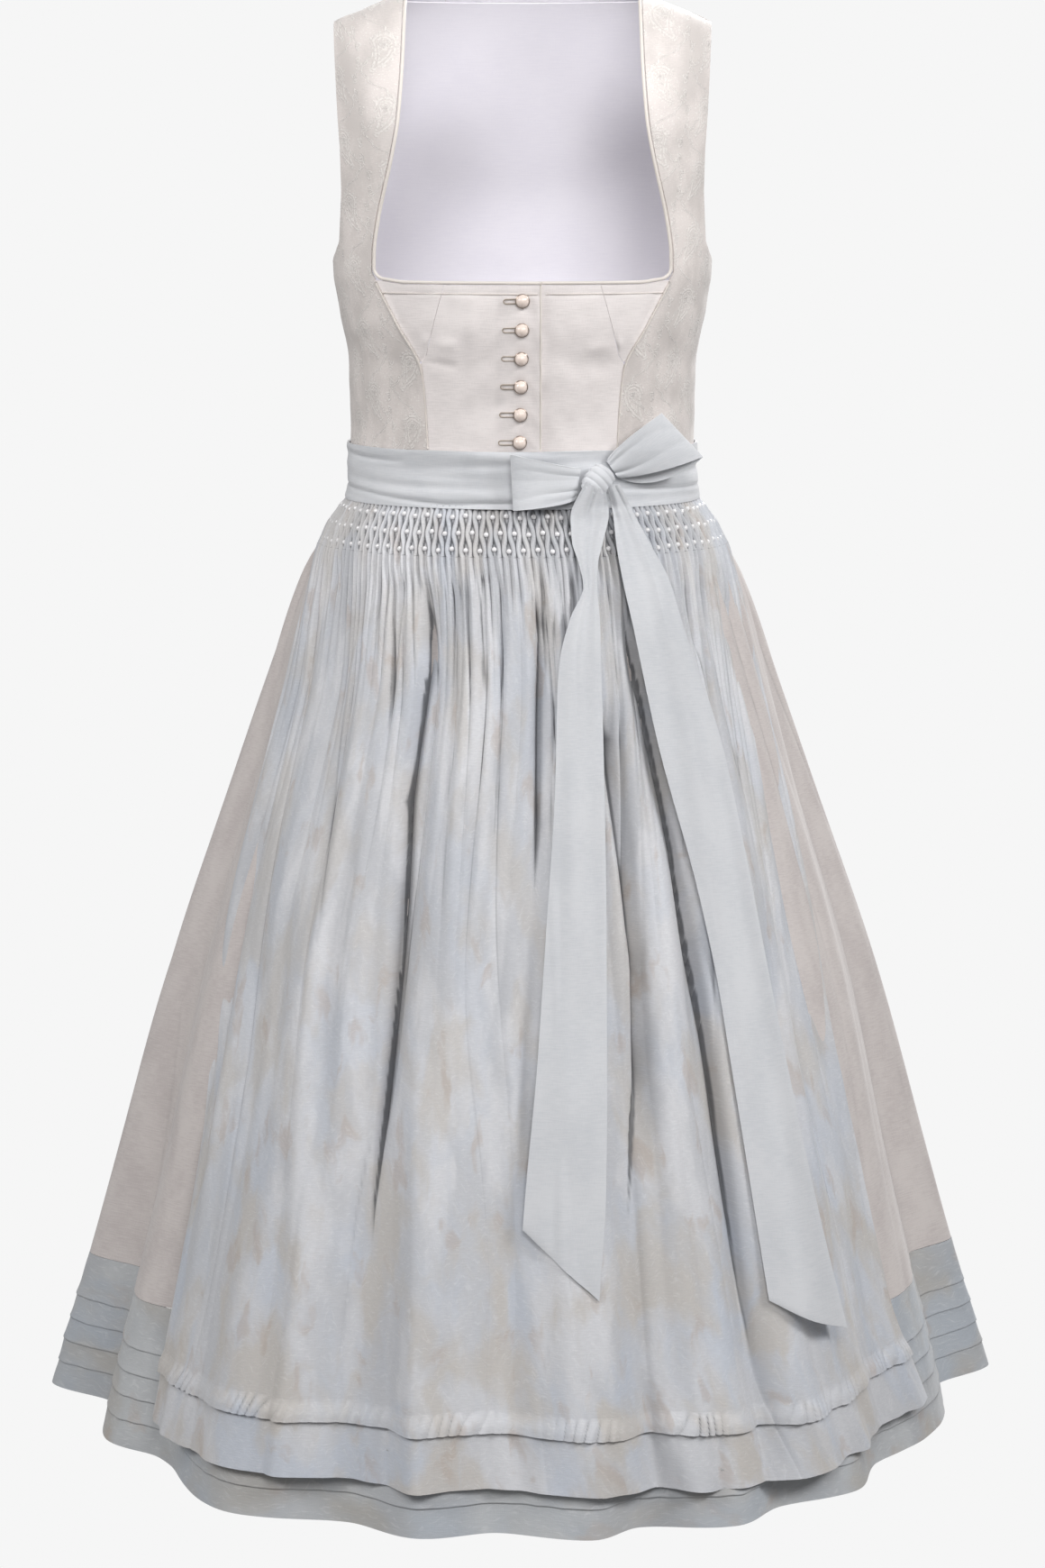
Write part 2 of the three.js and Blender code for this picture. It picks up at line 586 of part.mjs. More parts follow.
// The back's lining lies against the inside of the back panels, with its points under theirs.
const liningSide = SIDE_COLUMNS / (2 * SIDE_COLUMNS + CENTRE_COLUMNS);
function liningDegree(level, u) {
  const edge = 180 - armhole(level) + LINING_TRIM;
  const seam = degreeAt(BACK_SEAM, level, true);
  if (u <= liningSide) return -lerp(edge, seam, u / liningSide);
  if (u < 1 - liningSide) return lerp(-seam, seam - 360, (u - liningSide) / (1 - 2 * liningSide));
  return lerp(seam, edge, (u - 1 + liningSide) / liningSide) - 360;
}
piece('back_lining', bodicePanel({
  across: steps(2 * SIDE_COLUMNS + CENTRE_COLUMNS),
  levels: (u) => backLevels(backNeckLevel(bodyPoint(liningDegree(0, u), 0).x) - LINING_DROP)
    .slice(LINING_START),
  degreeOf: liningDegree,
  inset: WALL + LINING_GAP,
  thickness: LINING_WALL,
}), 'lining');

// ---------------------------------------------------------------- bodice, trimming
// Point beside a panel's edge, half way through its wall.
function beside(x, level, out) {
  const degree = degreeAt(x, level);
  return bodyPoint(degree, level).addScaledVector(bodyNormal(degree, level), out);
}

const pipingReach = PIPING + SEAM;

// Neckline piping: down the strap, round the corner and along the front neckline to the placket.
function necklinePiping(side, endX) {
  const strap = evenly(-4, CUP_CORNER + CORNER_ROUND, 13);
  const points = strap.map((level) => beside(side * (princessEdge(level) - pipingReach), level, -WALL / 2));
  const arcTop = CUP_CORNER + CORNER_ROUND;
  const cornerX = princessEdge(arcTop) - pipingReach;
  const start = cornerX - CORNER_ROUND;
  const arcBottom = neckLevel(start) + pipingReach;
  for (const t of [0.3, 0.6, 1]) {
    const angle = (Math.PI / 2) * t;
    const x = start + CORNER_ROUND * Math.cos(angle);
    points.push(beside(side * x, lerp(arcTop, arcBottom, Math.sin(angle)), -WALL / 2));
  }
  for (const t of steps(9).slice(1)) {
    const x = lerp(side * start, endX, t);
    const out = (side < 0 ? overlap(x) : 0) - WALL / 2;
    points.push(beside(x, neckLevel(x) + pipingReach, out));
  }
  return cord(points, PIPING, 5);
}

piece('neckline_piping_left', necklinePiping(-1, PLACKET), 'piping');
piece('neckline_piping_right', necklinePiping(1, PLACKET + 2 * pipingReach), 'piping');

// A thin piping covers each princess seam.
pair('princess_piping', 'piping', (side) => {
  const levels = evenly(BAND_TOP + 1, CUP_CORNER - 1, 12);
  const points = levels.map((level) => beside(side * princessEdge(level), level, SEAM_PIPING + SEAM));
  return cord(points, SEAM_PIPING, 5);
});

// A solid turned about the Z axis from rows of { radius, height }.
function turned(profile, segments) {
  const skin = new Skin();
  const onRing = (radius, height, t) => new THREE.Vector3(
    radius * Math.cos(2 * Math.PI * t), radius * Math.sin(2 * Math.PI * t), height);
  const rings = profile.map(({ radius, height }) => skin.row(
    steps(segments).slice(0, -1).map((t) => ({ at: t, point: onRing(radius, height, t) })), true));
  for (let i = 0; i < rings.length - 1; i += 1) skin.strip(rings[i], rings[i + 1]);
  const first = profile[0];
  const last = profile[profile.length - 1];
  skin.fan(rings[0], new THREE.Vector3(0, 0, first.height), false);
  skin.fan(rings[rings.length - 1], new THREE.Vector3(0, 0, last.height), true);
  return skin.geometry();
}

// A pearl seated in a flat rimmed cup.
const BUTTON = [
  { radius: 0.68, height: 0 }, { radius: 1, height: 0.22 }, { radius: 0.97, height: 0.42 },
  { radius: 0.84, height: 0.5 }, { radius: 0.74, height: 0.9 }, { radius: 0.36, height: 1.2 },
].map(({ radius, height }) => ({ radius: radius * BUTTON_RADIUS, height: height * BUTTON_RADIUS }));

for (let i = 0; i < BUTTON_COUNT; i += 1) {
  const level = BUTTON_TOP - i * BUTTON_PITCH;
  const x = BUTTON_DRIFT * i;
  const normal = bodyNormal(degreeAt(x, level), level);
  const button = piece(`button_${i + 1}`, turned(BUTTON, 10), 'pearl');
  button.position.copy(beside(x, level, overlap(PLACKET) + SEAM));
  button.quaternion.setFromUnitVectors(new THREE.Vector3(0, 0, 1), normal);
}

// ---------------------------------------------------------------- skirt
const foldAngle = (row) => row.at;
const foldGrowth = (z) => clamp((FOLD_START - z) / (FOLD_START - HEM), 0, 1) ** FOLD_RISE;

// Point of the flared surface below the waist, a distance outside it.
function skirtRing(degree, z, out) {
  const angle = radians(degree);
  const radius = squared(angle, column(SKIRT, 'square', z));
  const depth = column(SKIRT, Math.cos(angle) >= 0 ? 'front' : 'back', z);
  const half = column(SKIRT, 'half', z);
  return new THREE.Vector3(
    (half * radius + out) * Math.sin(angle),
    -(depth * radius + out) * Math.cos(angle),
    z,
  );
}

const skirtSwell = (degree, z) => foldGrowth(z) * foldSwell(SKIRT_FOLDS, foldAngle, degree, true);
const skirtPoint = (degree, z) => skirtRing(degree, z, skirtSwell(degree, z));

// Places round the skirt: every ridge and trough, and even steps between them.
const skirtPlaces = SKIRT_FOLDS.flatMap((fold, i) => {
  const next = i < SKIRT_FOLDS.length - 1 ? SKIRT_FOLDS[i + 1].at : SKIRT_FOLDS[0].at + 360;
  const parts = Math.max(2, Math.round((next - fold.at) / SKIRT_STEP));
  return evenly(fold.at, next, parts).slice(0, -1).map((at) => (at + 180) / 360);
}).concat(1);
const round = (u) => 360 * u - 180;
const shareOf = (top, bottom) => (z) => (z - top) / (bottom - top);

const skirtTop = WAIST - SEAM;
const skirtBottom = HEM_BAND_TOP + SEAM;
const skirtHeights = [skirtTop, -376, -400, -440, -517, -640, -800, skirtBottom];
piece('skirt', surfaceWall({
  surface: (u, v) => skirtPoint(round(u), lerp(skirtTop, skirtBottom, v)),
  thickness: WALL,
  across: skirtPlaces,
  down: skirtHeights.map(shareOf(skirtTop, skirtBottom)),
  closed: true,
}), 'skirt');

// The hem band has tucks: the cloth above each one stands out and drops back below it.
const isTuck = (z) => HEM_TUCKS.some((tuck) => Math.abs(z - tuck) < HEM_TUCK_STEP / 2);
const hemHeights = [HEM_BAND_TOP, ...HEM_TUCKS.flatMap((z) => [z, z - HEM_TUCK_STEP]), HEM];
piece('skirt_hem_band', surfaceWall({
  surface: (u, v) => skirtPoint(round(u), lerp(HEM_BAND_TOP, HEM, v)),
  thickness: WALL,
  across: skirtPlaces,
  down: hemHeights.map(shareOf(HEM_BAND_TOP, HEM)),
  relief: (u, v) => (isTuck(lerp(HEM_BAND_TOP, HEM, v)) ? HEM_TUCK_RAISE : 0),
  plain: { across: skirtPlaces, down: [0, 0.5, 1] },
  closed: true,
}), 'hemBand');

// ---------------------------------------------------------------- apron
const apronAngle = (z) => {
  const share = clamp((SMOCK_BOTTOM - z) / (SMOCK_BOTTOM - APRON_HEM), 0, 1);
  return (row) => lerp(row.top, row.hem, share);
};
const apronClear = (z) => {
  const share = clamp((APRON_EASE_TOP - z) / (APRON_EASE_TOP - APRON_EASE_END), 0, 1);
  return APRON_WALL + lerp(APRON_GAP_TOP, APRON_GAP_HEM, share);
};

// Outer surface of the apron: its own folds, and never closer to the skirt than its gap.
function apronPoint(degree, z) {
  const own = foldGrowth(z) * foldSwell(APRON_FOLDS, apronAngle(z), degree, false);
  const least = skirtSwell(degree, z) + apronClear(z);
  return skirtRing(degree, z, Math.max(own + APRON_GAP_TOP, least));
}
const apronDegree = (u, z) => lerp(column(APRON_EDGES, 'left', z), column(APRON_EDGES, 'right', z), u);

// The hem drops a little to the viewer's right.
function apronDrop(degree, z) {
  const share = clamp((SMOCK_BOTTOM - z) / (SMOCK_BOTTOM - APRON_DIP_END), 0, 1);
  return -APRON_DIP * share * Math.exp(-(((degree - APRON_DIP_AT) / APRON_DIP_WIDTH) ** 2));
}

function apronSurface(top, bottom, out = 0) {
  return (u, v) => {
    const level = lerp(top, bottom, v);
    const degree = apronDegree(u, level);
    const point = apronPoint(degree, level);
    const outward = new THREE.Vector3(point.x, point.y, 0).normalize();
    point.z += apronDrop(degree, level);
    return point.addScaledVector(outward, out);
  };
}

// Honeycomb smocking: pleats pinched together at staggered points over three rows.
const smockTop = BAND_BOTTOM - SMOCK_TOP_GAP;
const SMOCK_ROWS = [
  { z: smockTop, pinch: [0.2, 0.6, 0.2, 0.6] }, { z: -379.5, pinch: [1, 0.1, 0, 0.1] },
  { z: -385.3, pinch: [0.25, 0.75, 0.25, 0.75] }, { z: -391, pinch: [0, 0.1, 1, 0.1] },
  { z: -396.8, pinch: [0.25, 0.75, 0.25, 0.75] }, { z: -402.5, pinch: [1, 0.1, 0, 0.1] },
  { z: SMOCK_BOTTOM, pinch: [0.8, 0.3, 0, 0.3] },
];
const smockShare = shareOf(smockTop, SMOCK_BOTTOM);
piece('apron_smocking', surfaceWall({
  surface: apronSurface(smockTop, SMOCK_BOTTOM),
  thickness: APRON_WALL,
  across: steps(SMOCK_COLUMNS),
  down: SMOCK_ROWS.map((row) => smockShare(row.z)),
  relief: (u, v) => {
    const row = SMOCK_ROWS.find((entry) => Math.abs(smockShare(entry.z) - v) < SAME_PLACE);
    return SMOCK_RAISE * row.pinch[Math.round(u * SMOCK_COLUMNS) % row.pinch.length];
  },
  plain: { across: steps(SMOCK_CELLS), down: [0, 0.5, 1] },
}), 'apron');

// The apron panel: gathers run out of the smocking and fade into the large folds.
const panelTop = SMOCK_BOTTOM - SEAM;
const panelBottom = APRON_HEM + FLOUNCE + TUCK_HEIGHT;
const panelShare = shareOf(panelTop, panelBottom);
const GATHER_WAVE = [0, 0.6, 1, 0.4];
const gatherDepth = (z) => GATHER_DEPTH * clamp((z - GATHER_END) / (panelTop - GATHER_END), 0, 1);
piece('apron_panel', surfaceWall({
  surface: apronSurface(panelTop, panelBottom),
  thickness: APRON_WALL,
  across: steps(GATHERS * GATHER_WAVE.length),
  down: [panelTop, -440, -490, -550, -620, -700, -790, -890, panelBottom].map(panelShare),
  coarser: { below: panelShare(GATHER_END), across: steps(GATHERS * 2) },
  relief: (u, v) => {
    const wave = GATHER_WAVE[Math.round(u * GATHERS * GATHER_WAVE.length) % GATHER_WAVE.length];
    return wave * gatherDepth(lerp(panelTop, panelBottom, v));
  },
  plain: {
    across: steps(GATHERS * 2),
    down: [panelTop, -450, -530, -640, -780, panelBottom].map(panelShare),
  },
}), 'apron');

// The tuck is a puckered strip that stands out over the top of the lower flounce.
const tuckTop = panelBottom - SEAM;
const tuckBottom = tuckTop - TUCK_HEIGHT;
piece('apron_tuck', surfaceWall({
  surface: apronSurface(tuckTop, tuckBottom, TUCK_STAND),
  thickness: APRON_WALL,
  across: steps(PUCKERS * 2),
  down: [0, 0.5, 1],
  relief: (u, v) => {
    const height = TUCK_PUCKER * lerp(PUCKER_EDGE, 1, Math.sin(Math.PI * v));
    return height * (Math.round(u * PUCKERS * 2) % 2);
  },
  plain: { across: steps(PUCKERS), down: [0, 1] },
}), 'apron');
piece('apron_flounce', surfaceWall({
  surface: apronSurface(tuckBottom + FLOUNCE_TUCKED, APRON_HEM),
  thickness: APRON_WALL,
  across: steps(PUCKERS),
  down: [0, 0.5, 1],
}), 'apron');

// ---------------------------------------------------------------- waistband and bow
// Point of the band's inner side: just clear of the bodice, its overlap and the skirt's top.
function bandRing(degree, z, out) {
  const step = (WALL + SEAM) * smooth((OVERLAP_BUMP_END - Math.abs(degree)) / OVERLAP_BUMP_FADE);
  return skirtRing(degree, Math.min(z, WAIST), BAND_GAP + step + out + bodiceSwell(degree, z));
}

// How much the bodice above the waist seam is wider than the waist.
const bodiceSwell = (degree, z) => (z <= WAIST ? 0
  : (column(BODY, 'half', z) - column(BODY, 'half', WAIST)) * Math.abs(Math.sin(radians(degree)))
  + (column(BODY, 'front', z) - column(BODY, 'front', WAIST)) * Math.max(0, Math.cos(radians(degree)))
  + (column(BODY, 'back', z) - column(BODY, 'back', WAIST)) * Math.max(0, -Math.cos(radians(degree))));

function bandSurface(u, v) {
  const z = lerp(BAND_TOP, BAND_BOTTOM, v);
  const point = bandRing(round(u), z, BAND_WALL);
  point.z = z;
  return point;
}
// Soft drag folds run slantwise round the band.
piece('apron_waistband', surfaceWall({
  surface: bandSurface,
  thickness: BAND_WALL,
  across: steps(BAND_STEPS),
  down: steps(4),
  relief: (u, v) => BAND_FOLD * (1 - Math.cos(2 * Math.PI * (BAND_FOLDS * v + BAND_TURNS * u))) / 2,
  plain: { across: steps(BAND_STEPS), down: [0, 0.5, 1] },
  closed: true,
}), 'band');

// How far forward the dress reaches at a point, bridging over its folds.
function apronReach(x, z) {
  let low = -REACH_SPAN;
  let high = REACH_SPAN;
  for (let i = 0; i < REACH_HALVINGS; i += 1) {
    const middle = (low + high) / 2;
    if (apronPoint(middle, z).x < x) low = middle;
    else high = middle;
  }
  return -apronPoint(low, z).y + gatherDepth(clamp(z, GATHER_END, panelTop));
}
function bandReach(x, z) {
  const level = clamp(z, BAND_BOTTOM, BAND_TOP);
  const degree = degrees(Math.asin(clamp(x / column(SKIRT, 'half', WAIST), -1, 1)));
  return -bandRing(degree, level, BAND_WALL + BAND_FOLD).y;
}
function reach(x, z) {
  const near = BRIDGE.map((dx) => (z > BAND_BOTTOM ? bandReach(x + dx, z) : apronReach(x + dx, z)));
  const band = z > SMOCK_BOTTOM ? bandReach(x, Math.max(z, BAND_BOTTOM)) : 0;
  return Math.max(...near, band);
}

// A strip of cloth with a surface in its middle, from 0 to 1 across and down.
function ribbon(surface, across, down) {
  return surfaceWall({ surface, thickness: RIBBON_WALL, across, down });
}

// A hanging end of the bow, on rows of edge points.
function tail(rows) {
  const table = rows.map((row, i) => ({ ...row, z: i }));
  const at = (name, v) => column(table, name, v * (table.length - 1));
  return ribbon((u, v) => {
    const x = lerp(at('x0', v), at('x1', v), u);
    const z = lerp(at('z0', v), at('z1', v), u);
    const bow = TAIL_BOW * Math.sin(Math.PI * u);
    const out = RIBBON_GAP + RIBBON_WALL + bow + at('out', v);
    return new THREE.Vector3(x, -(reach(x, z) + out), z);
  }, steps(4), steps(TAIL_STEPS));
}
piece('bow_tail_left', tail(LEFT_TAIL), 'band');
piece('bow_tail_right', tail(RIGHT_TAIL), 'band');

// A loop of the bow: the strip leaves the knot, turns back at its outer end and returns behind.
function loop({ knotTop, knotBottom, endTop, endBottom, depth, rest }) {
  const between = (a, b, t) => ({ x: lerp(a.x, b.x, t), z: lerp(a.z, b.z, t) });
  return ribbon((u, v) => {
    const turn = Math.PI * u;
    const out = Math.sin(turn);
    const point = between(between(knotTop, knotBottom, v), between(endTop, endBottom, v), out);
    const swell = LOOP_NECK + depth * Math.sin(Math.PI * Math.min(out, 1) * 0.5) * (1 - LOOP_FLATTEN * out);
    const front = (1 + Math.cos(turn)) * swell;
    const behind = bandReach(Math.min(point.x, KNOT.x), point.z);
    const away = LOOP_SLOPE * Math.max(0, point.x - KNOT.x);
    return new THREE.Vector3(point.x, away - behind - rest - RIBBON_WALL - front, point.z);
  }, steps(12), steps(4));
}
piece('bow_loop_left', loop(LEFT_LOOP), 'band');
piece('bow_loop_right', loop(RIGHT_LOOP), 'band');

// The knot: a short rounded wrap, tilted up to the viewer's right.
const KNOT_PROFILE = [
  { radius: 0.5, height: -1 }, { radius: 0.85, height: -0.8 }, { radius: 1, height: -0.3 },
  { radius: 1, height: 0.3 }, { radius: 0.85, height: 0.8 }, { radius: 0.5, height: 1 },
];
const knot = piece('bow_knot', turned(KNOT_PROFILE, 14), 'band');
knot.geometry.scale(KNOT.tall / 2, KNOT.deep / 2, KNOT.wide / 2);
knot.geometry.rotateY(Math.PI / 2 - KNOT.tilt);
knot.geometry.rotateZ(Math.atan(LOOP_SLOPE));
knot.position.set(KNOT.x, -(bandReach(KNOT.x, KNOT.z) + KNOT.out + KNOT.deep / 2), KNOT.z);

export default dirndl;
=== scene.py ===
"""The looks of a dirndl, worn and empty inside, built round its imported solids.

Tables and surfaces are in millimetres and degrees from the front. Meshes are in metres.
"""
import math

import bpy
import numpy as np
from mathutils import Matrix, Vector


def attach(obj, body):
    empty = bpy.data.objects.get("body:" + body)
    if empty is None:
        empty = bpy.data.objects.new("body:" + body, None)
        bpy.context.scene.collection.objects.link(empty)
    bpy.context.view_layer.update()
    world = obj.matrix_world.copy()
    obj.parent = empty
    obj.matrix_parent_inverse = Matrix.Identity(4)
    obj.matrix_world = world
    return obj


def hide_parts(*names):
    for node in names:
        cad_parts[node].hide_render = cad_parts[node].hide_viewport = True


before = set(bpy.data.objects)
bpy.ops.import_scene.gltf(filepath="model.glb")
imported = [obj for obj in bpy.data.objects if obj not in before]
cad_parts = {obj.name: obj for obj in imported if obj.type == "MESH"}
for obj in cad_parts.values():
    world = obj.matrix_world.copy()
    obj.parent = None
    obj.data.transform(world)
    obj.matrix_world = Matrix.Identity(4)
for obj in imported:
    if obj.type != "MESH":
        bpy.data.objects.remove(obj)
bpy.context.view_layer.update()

# ------------------------------------------------------------ driving dimensions, as in the solids
MM = 0.001
WALL = 1.6
SEAM = 0.3
WAIST = -352
HEM = -1072
HEM_BAND_TOP = -966
UNDERARM = -199
NECK_SIDE = 88
SHOULDER_SLOPE = 0.44
NAPE = 45
SHOULDER_ROLL = 140
NECK_FRONT = -211
BACK_NECK = -1
CUP_POINT = -270
CUP_TIP = 3
CUP_CORNER = -208.5
BACK_SEAM = 58
PLACKET = 14
UNDERLAP = -3
OVERLAP_START = -20
OVERLAP_RAMP = 14
SIDE_SEAM = 0.08
BACK_BLEND = -100
LINING_TRIM = 3
LINING_GAP = 0.8
LINING_START = 3
LINING_DROP = 3
SIDE_COLUMNS = 5
CENTRE_COLUMNS = 6
PIPING = 1.3
CORNER_ROUND = 9
CORNER_START = 84
CORNER_SPAN = 24
BAND_TOP = -332
BAND_BOTTOM = -374
BAND_WALL = 2.0
BAND_GAP = 0.6
BAND_STEP = {"at": 20, "ramp": 7}
SMOCK_TOP = -374.8
SMOCK_BOTTOM = -407
SMOCK_CELLS = 42
SMOCK_ROWS = [-379.5, -391, -402.5]
PANEL_TOP = -407.3
PANEL_BOTTOM = -987
TUCK_TOP = -987.3
TUCK_BOTTOM = -1002.3
FLOUNCE_TOP = -998.3
APRON_HEM = -1040
APRON_WALL = 1.4
APRON_GAP_TOP = 1.4
APRON_GAP_HEM = 5
# Thickness of each sheet of cloth in the scene. The solids' walls are a little more.
THICK = {"bodice": 1.2, "lining": 0.8, "skirt": 1.2, "apron": 1.0, "band": 1.6, "ribbon": 1.0}
APRON_CLEAR = {"start": -380, "span": 320}
APRON_DIP = {"deep": 7, "span": 600, "at": 31, "wide": 20}
APRON_HALF = 88
FOLD_START = -392
FOLD_RISE = 0.85
HEM_TUCKS = [-1000, -1018, -1035, -1052]
RIBBON_WALL = 1.4
RIBBON_GAP = 0.6
TAIL_BOW = 1.5
BUTTON_COUNT = 6
BUTTON_TOP = -222
BUTTON_PITCH = 20.6
BUTTON_RADIUS = 5.3
BUTTON_DRIFT = -0.4

FLOOR = -1400
CAMERA_DISTANCE = 3000
CAMERA_HEIGHT = -95
CAMERA_TILT = 9.46
PHOTO_HEIGHT = 1740
FOCAL_PIXELS = 4407
SENSOR = 36


def table(names, rows):
    """Named columns, sorted by height or by the first name."""
    columns = {name: np.array([row[i] for row in rows], float) for i, name in enumerate(names.split())}
    order = np.argsort(columns[names.split()[0]])
    return {name: values[order] for name, values in columns.items()}


BODY = table("z half front back square", [
    (-352, 129, 100, 92, 2.15), (-319, 129.5, 103, 94, 2.15), (-272, 130.5, 111, 99, 2.2),
    (-235, 137, 118, 104, 2.3), (-205, 141.5, 119, 108, 2.4), (-150, 143, 108, 110, 2.6),
    (-80, 146, 98, 101, 3), (0, 150, 92, 74, 3.2),
])
SKIRT = table("z half front back square", [
    (-352, 129, 100, 92, 2.15), (-376, 131.5, 103, 95, 2.15), (-394, 143, 114, 107, 2.1),
    (-435, 165.5, 137, 133, 2.05), (-517, 192, 166, 166, 2), (-684, 241, 221, 223, 2),
    (-811, 279, 263, 267, 2), (-967, 322, 312, 315, 2), (-1072, 350, 343, 345, 2),
])
SKIRT_FOLDS = table("at swell", [
    (-180, 14), (-168, -12), (-155, 16), (-141, -13), (-127, 15), (-112, -14), (-91, 20), (-81, -29),
    (-66, -8), (-56, -26), (-35, 16), (-21, -6), (-12, 13), (-3, -6), (8, 12), (14, -8), (25, 12),
    (33, -8), (43, 1), (54, -25), (72, -16), (89, -24), (98, 25), (113, -13), (128, 16), (142, -14),
    (156, 16), (168, -12), (180, 14),
])
APRON_FOLDS = table("top hem swell", [
    (-96, -84, -20), (-70, -60, -18), (-52, -46, 8), (-40, -37, 2), (-33, -28, 20), (-26, -20.5, -4),
    (-14, -12, 22), (2, -4.5, 0), (10, 9, 19), (17, 16.5, -1), (22, 22, 19), (27, 28, 2), (37, 34, 23),
    (47, 45, 6), (56, 53, -12), (66, 63, -8), (90, 80, -14),
])
APRON_EDGES = table("z left right", [
    (-374, -90, 88), (-440, -76, 79), (-520, -69, 73), (-660, -67, 67.5), (-785, -61, 62),
    (-950, -57, 61), (-1055, -58, 67),
])
SIDE_FRONT_EDGE = table("z x", [
    (-352, 68.5), (-329, 69.5), (-300, 71), (-273, 73.8), (-240, 91), (-208, 107.5), (-202, 110.3),
    (-189, 110.1), (-165, 107), (-143, 102.3), (-116, 96.2), (-89, 91.8), (-44, 88.9), (0, NECK_SIDE),
])
CUP_SEAM = table("z x", [
    (CUP_POINT, 75), (-262, 70), (-245, 66), (-227, 61.3), (NECK_FRONT, 56.6),
])
ARMHOLE = table("z at", [
    (-352, 90), (UNDERARM, 90), (-196, 80), (-190, 72), (-182, 66), (-144, 61), (-109, 58.6),
    (-72, 58), (0, 57),
])
LEFT_TAIL = table("row x0 z0 x1 z1 out", [
    (0, 46, -353, 61, -360.3, 6.5), (1, 35, -378, 63, -377, 3), (2, 36, -395, 59, -395, 0.5),
    (3, 41, -411, 55, -411, 0), (4, 44, -427, 54, -427, -1), (5, 34, -450, 56, -450, -1.2),
    (6, 26, -486, 57, -486, -1.2), (7, 23, -575, 59, -575, -0.8), (8, 17, -662, 60, -662, -0.8),
    (9, 10, -760, 60, -760, -1), (10, 3, -830, 59, -840, -1.2), (11, 0, -865, 54, -912, -1.3),
])
RIGHT_TAIL = table("row x0 z0 x1 z1 out", [
    (0, 62, -358, 71, -355.4, 7), (1, 66, -377, 81, -376, 3), (2, 68.5, -399, 93, -398, 0),
    (3, 73, -424, 107, -424, -3), (4, 81, -459, 118, -459, -4), (5, 98, -538, 145, -540, -6),
    (6, 125, -635, 166, -638, -5), (7, 139, -697, 178, -700, -4.5), (8, 152, -775, 194, -779, -3.5),
    (9, 165, -856, 212, -862, -1.8), (10, 172, -900, 224, -912, -1.5), (11, 176, -924, 234, -951, -1),
])
LEFT_LOOP = {
    "knot_top": (42, -344), "knot_bottom": (39, -365.5), "end_top": (-8, -333), "end_bottom": (-6, -374),
    "depth": 6, "rest": 0.3, "sag": 1, "top_bow": 1.0, "low_bow": 0.5,
}
RIGHT_LOOP = {
    "knot_top": (62, -340), "knot_bottom": (70, -352), "end_top": (102, -305),
    "end_bottom": (133, -338), "depth": 8, "rest": -0.3, "sag": 8, "top_bow": 0.72, "low_bow": 1.5,
}
KNOT = {"x": 55, "z": -354, "wide": 24, "tall": 21, "deep": 15, "tilt": 0.9, "out": 1.4}
LOOP_SLOPE = 0.38
LOOP_NECK = 1.4
LOOP_FLATTEN = 0.35
BAND_FOLD = 1.5
BRIDGE = [-18, -9, 0, 9, 18]
GATHER_RISE = 3.4
GATHER_END = -640

# Creases of the apron: depth, how far each fades to the left and to the right, and its line from top
# to bottom. The sharper side is where one fold of cloth lies over the next.
CREASE_GAIN = 1.9
CREASES = [
    (9, 1.8, 13, [(-71, -415), (-73, -489), (-77.5, -522), (-86, -579), (-89, -634), (-92, -690),
                  (-97, -745), (-107, -856), (-109, -925)]),
    (2.2, 6, 1.5, [(-86, -415), (-88, -429), (-94, -488), (-99, -540)]),
    (7, 2, 9, [(9, -430), (12, -463), (10.4, -531), (9.7, -598), (8, -660)]),
    (2.4, 8, 1.6, [(23, -440), (25, -500), (22, -560), (20, -640)]),
    (2.2, 9, 4, [(-48, -412), (-51, -510), (-56, -600), (-60, -690)]),
    (8, 1.8, 10, [(59, -500), (61, -546), (72.5, -622), (81, -689), (81, -769), (77, -803), (74, -880)]),
    (8, 9, 1.8, [(70, -425), (75, -444), (82.4, -472), (92, -512), (112.7, -614), (133.5, -737),
                 (144.7, -819), (151, -864), (157, -910), (172, -985)]),
    (6, 2, 9, [(146, -430), (151, -446), (177.6, -545), (189, -614), (207, -706), (221, -775),
               (232, -850)]),
    (2.2, 2, 8, [(118, -425), (136, -500), (152, -580), (160, -650)]),
    (1.8, 7, 2, [(-118, -425), (-130, -500), (-141, -590), (-150, -700)]),
    (1.8, 2, 6, [(-30, -412), (-31, -450), (-28, -520)]),
    (1.8, 5, 1.8, [(-14, -412), (-14, -470), (-19, -560), (-22, -640)]),
    (1.8, 2, 6, [(35, -412), (38, -470), (45, -560)]),
]
# Gathers: how many across, how deep, how far down they fade, and the seed of their wandering. Those of
# the apron are narrow grooves, whose width is a share of their spacing.
SKIRT_GATHERS = [(96, 1.5, 60, 1), (48, 1.8, 150, 2), (24, 3.2, 600, 3)]
GATHERS = [(61, 3.0, 0.2, 75, 2), (37, 2.8, 0.14, 150, 3), (19, 3.4, 0.1, 330, 4)]
# Painted shade darkens a sheet's hollows, found against its own form softened over so many steps, each with
# its share.
PAINTED_SHADE_REACH = [(3, 1.0), (10, 0.45)]
PAINTED_SHADE_RANGE = (-1, 3)
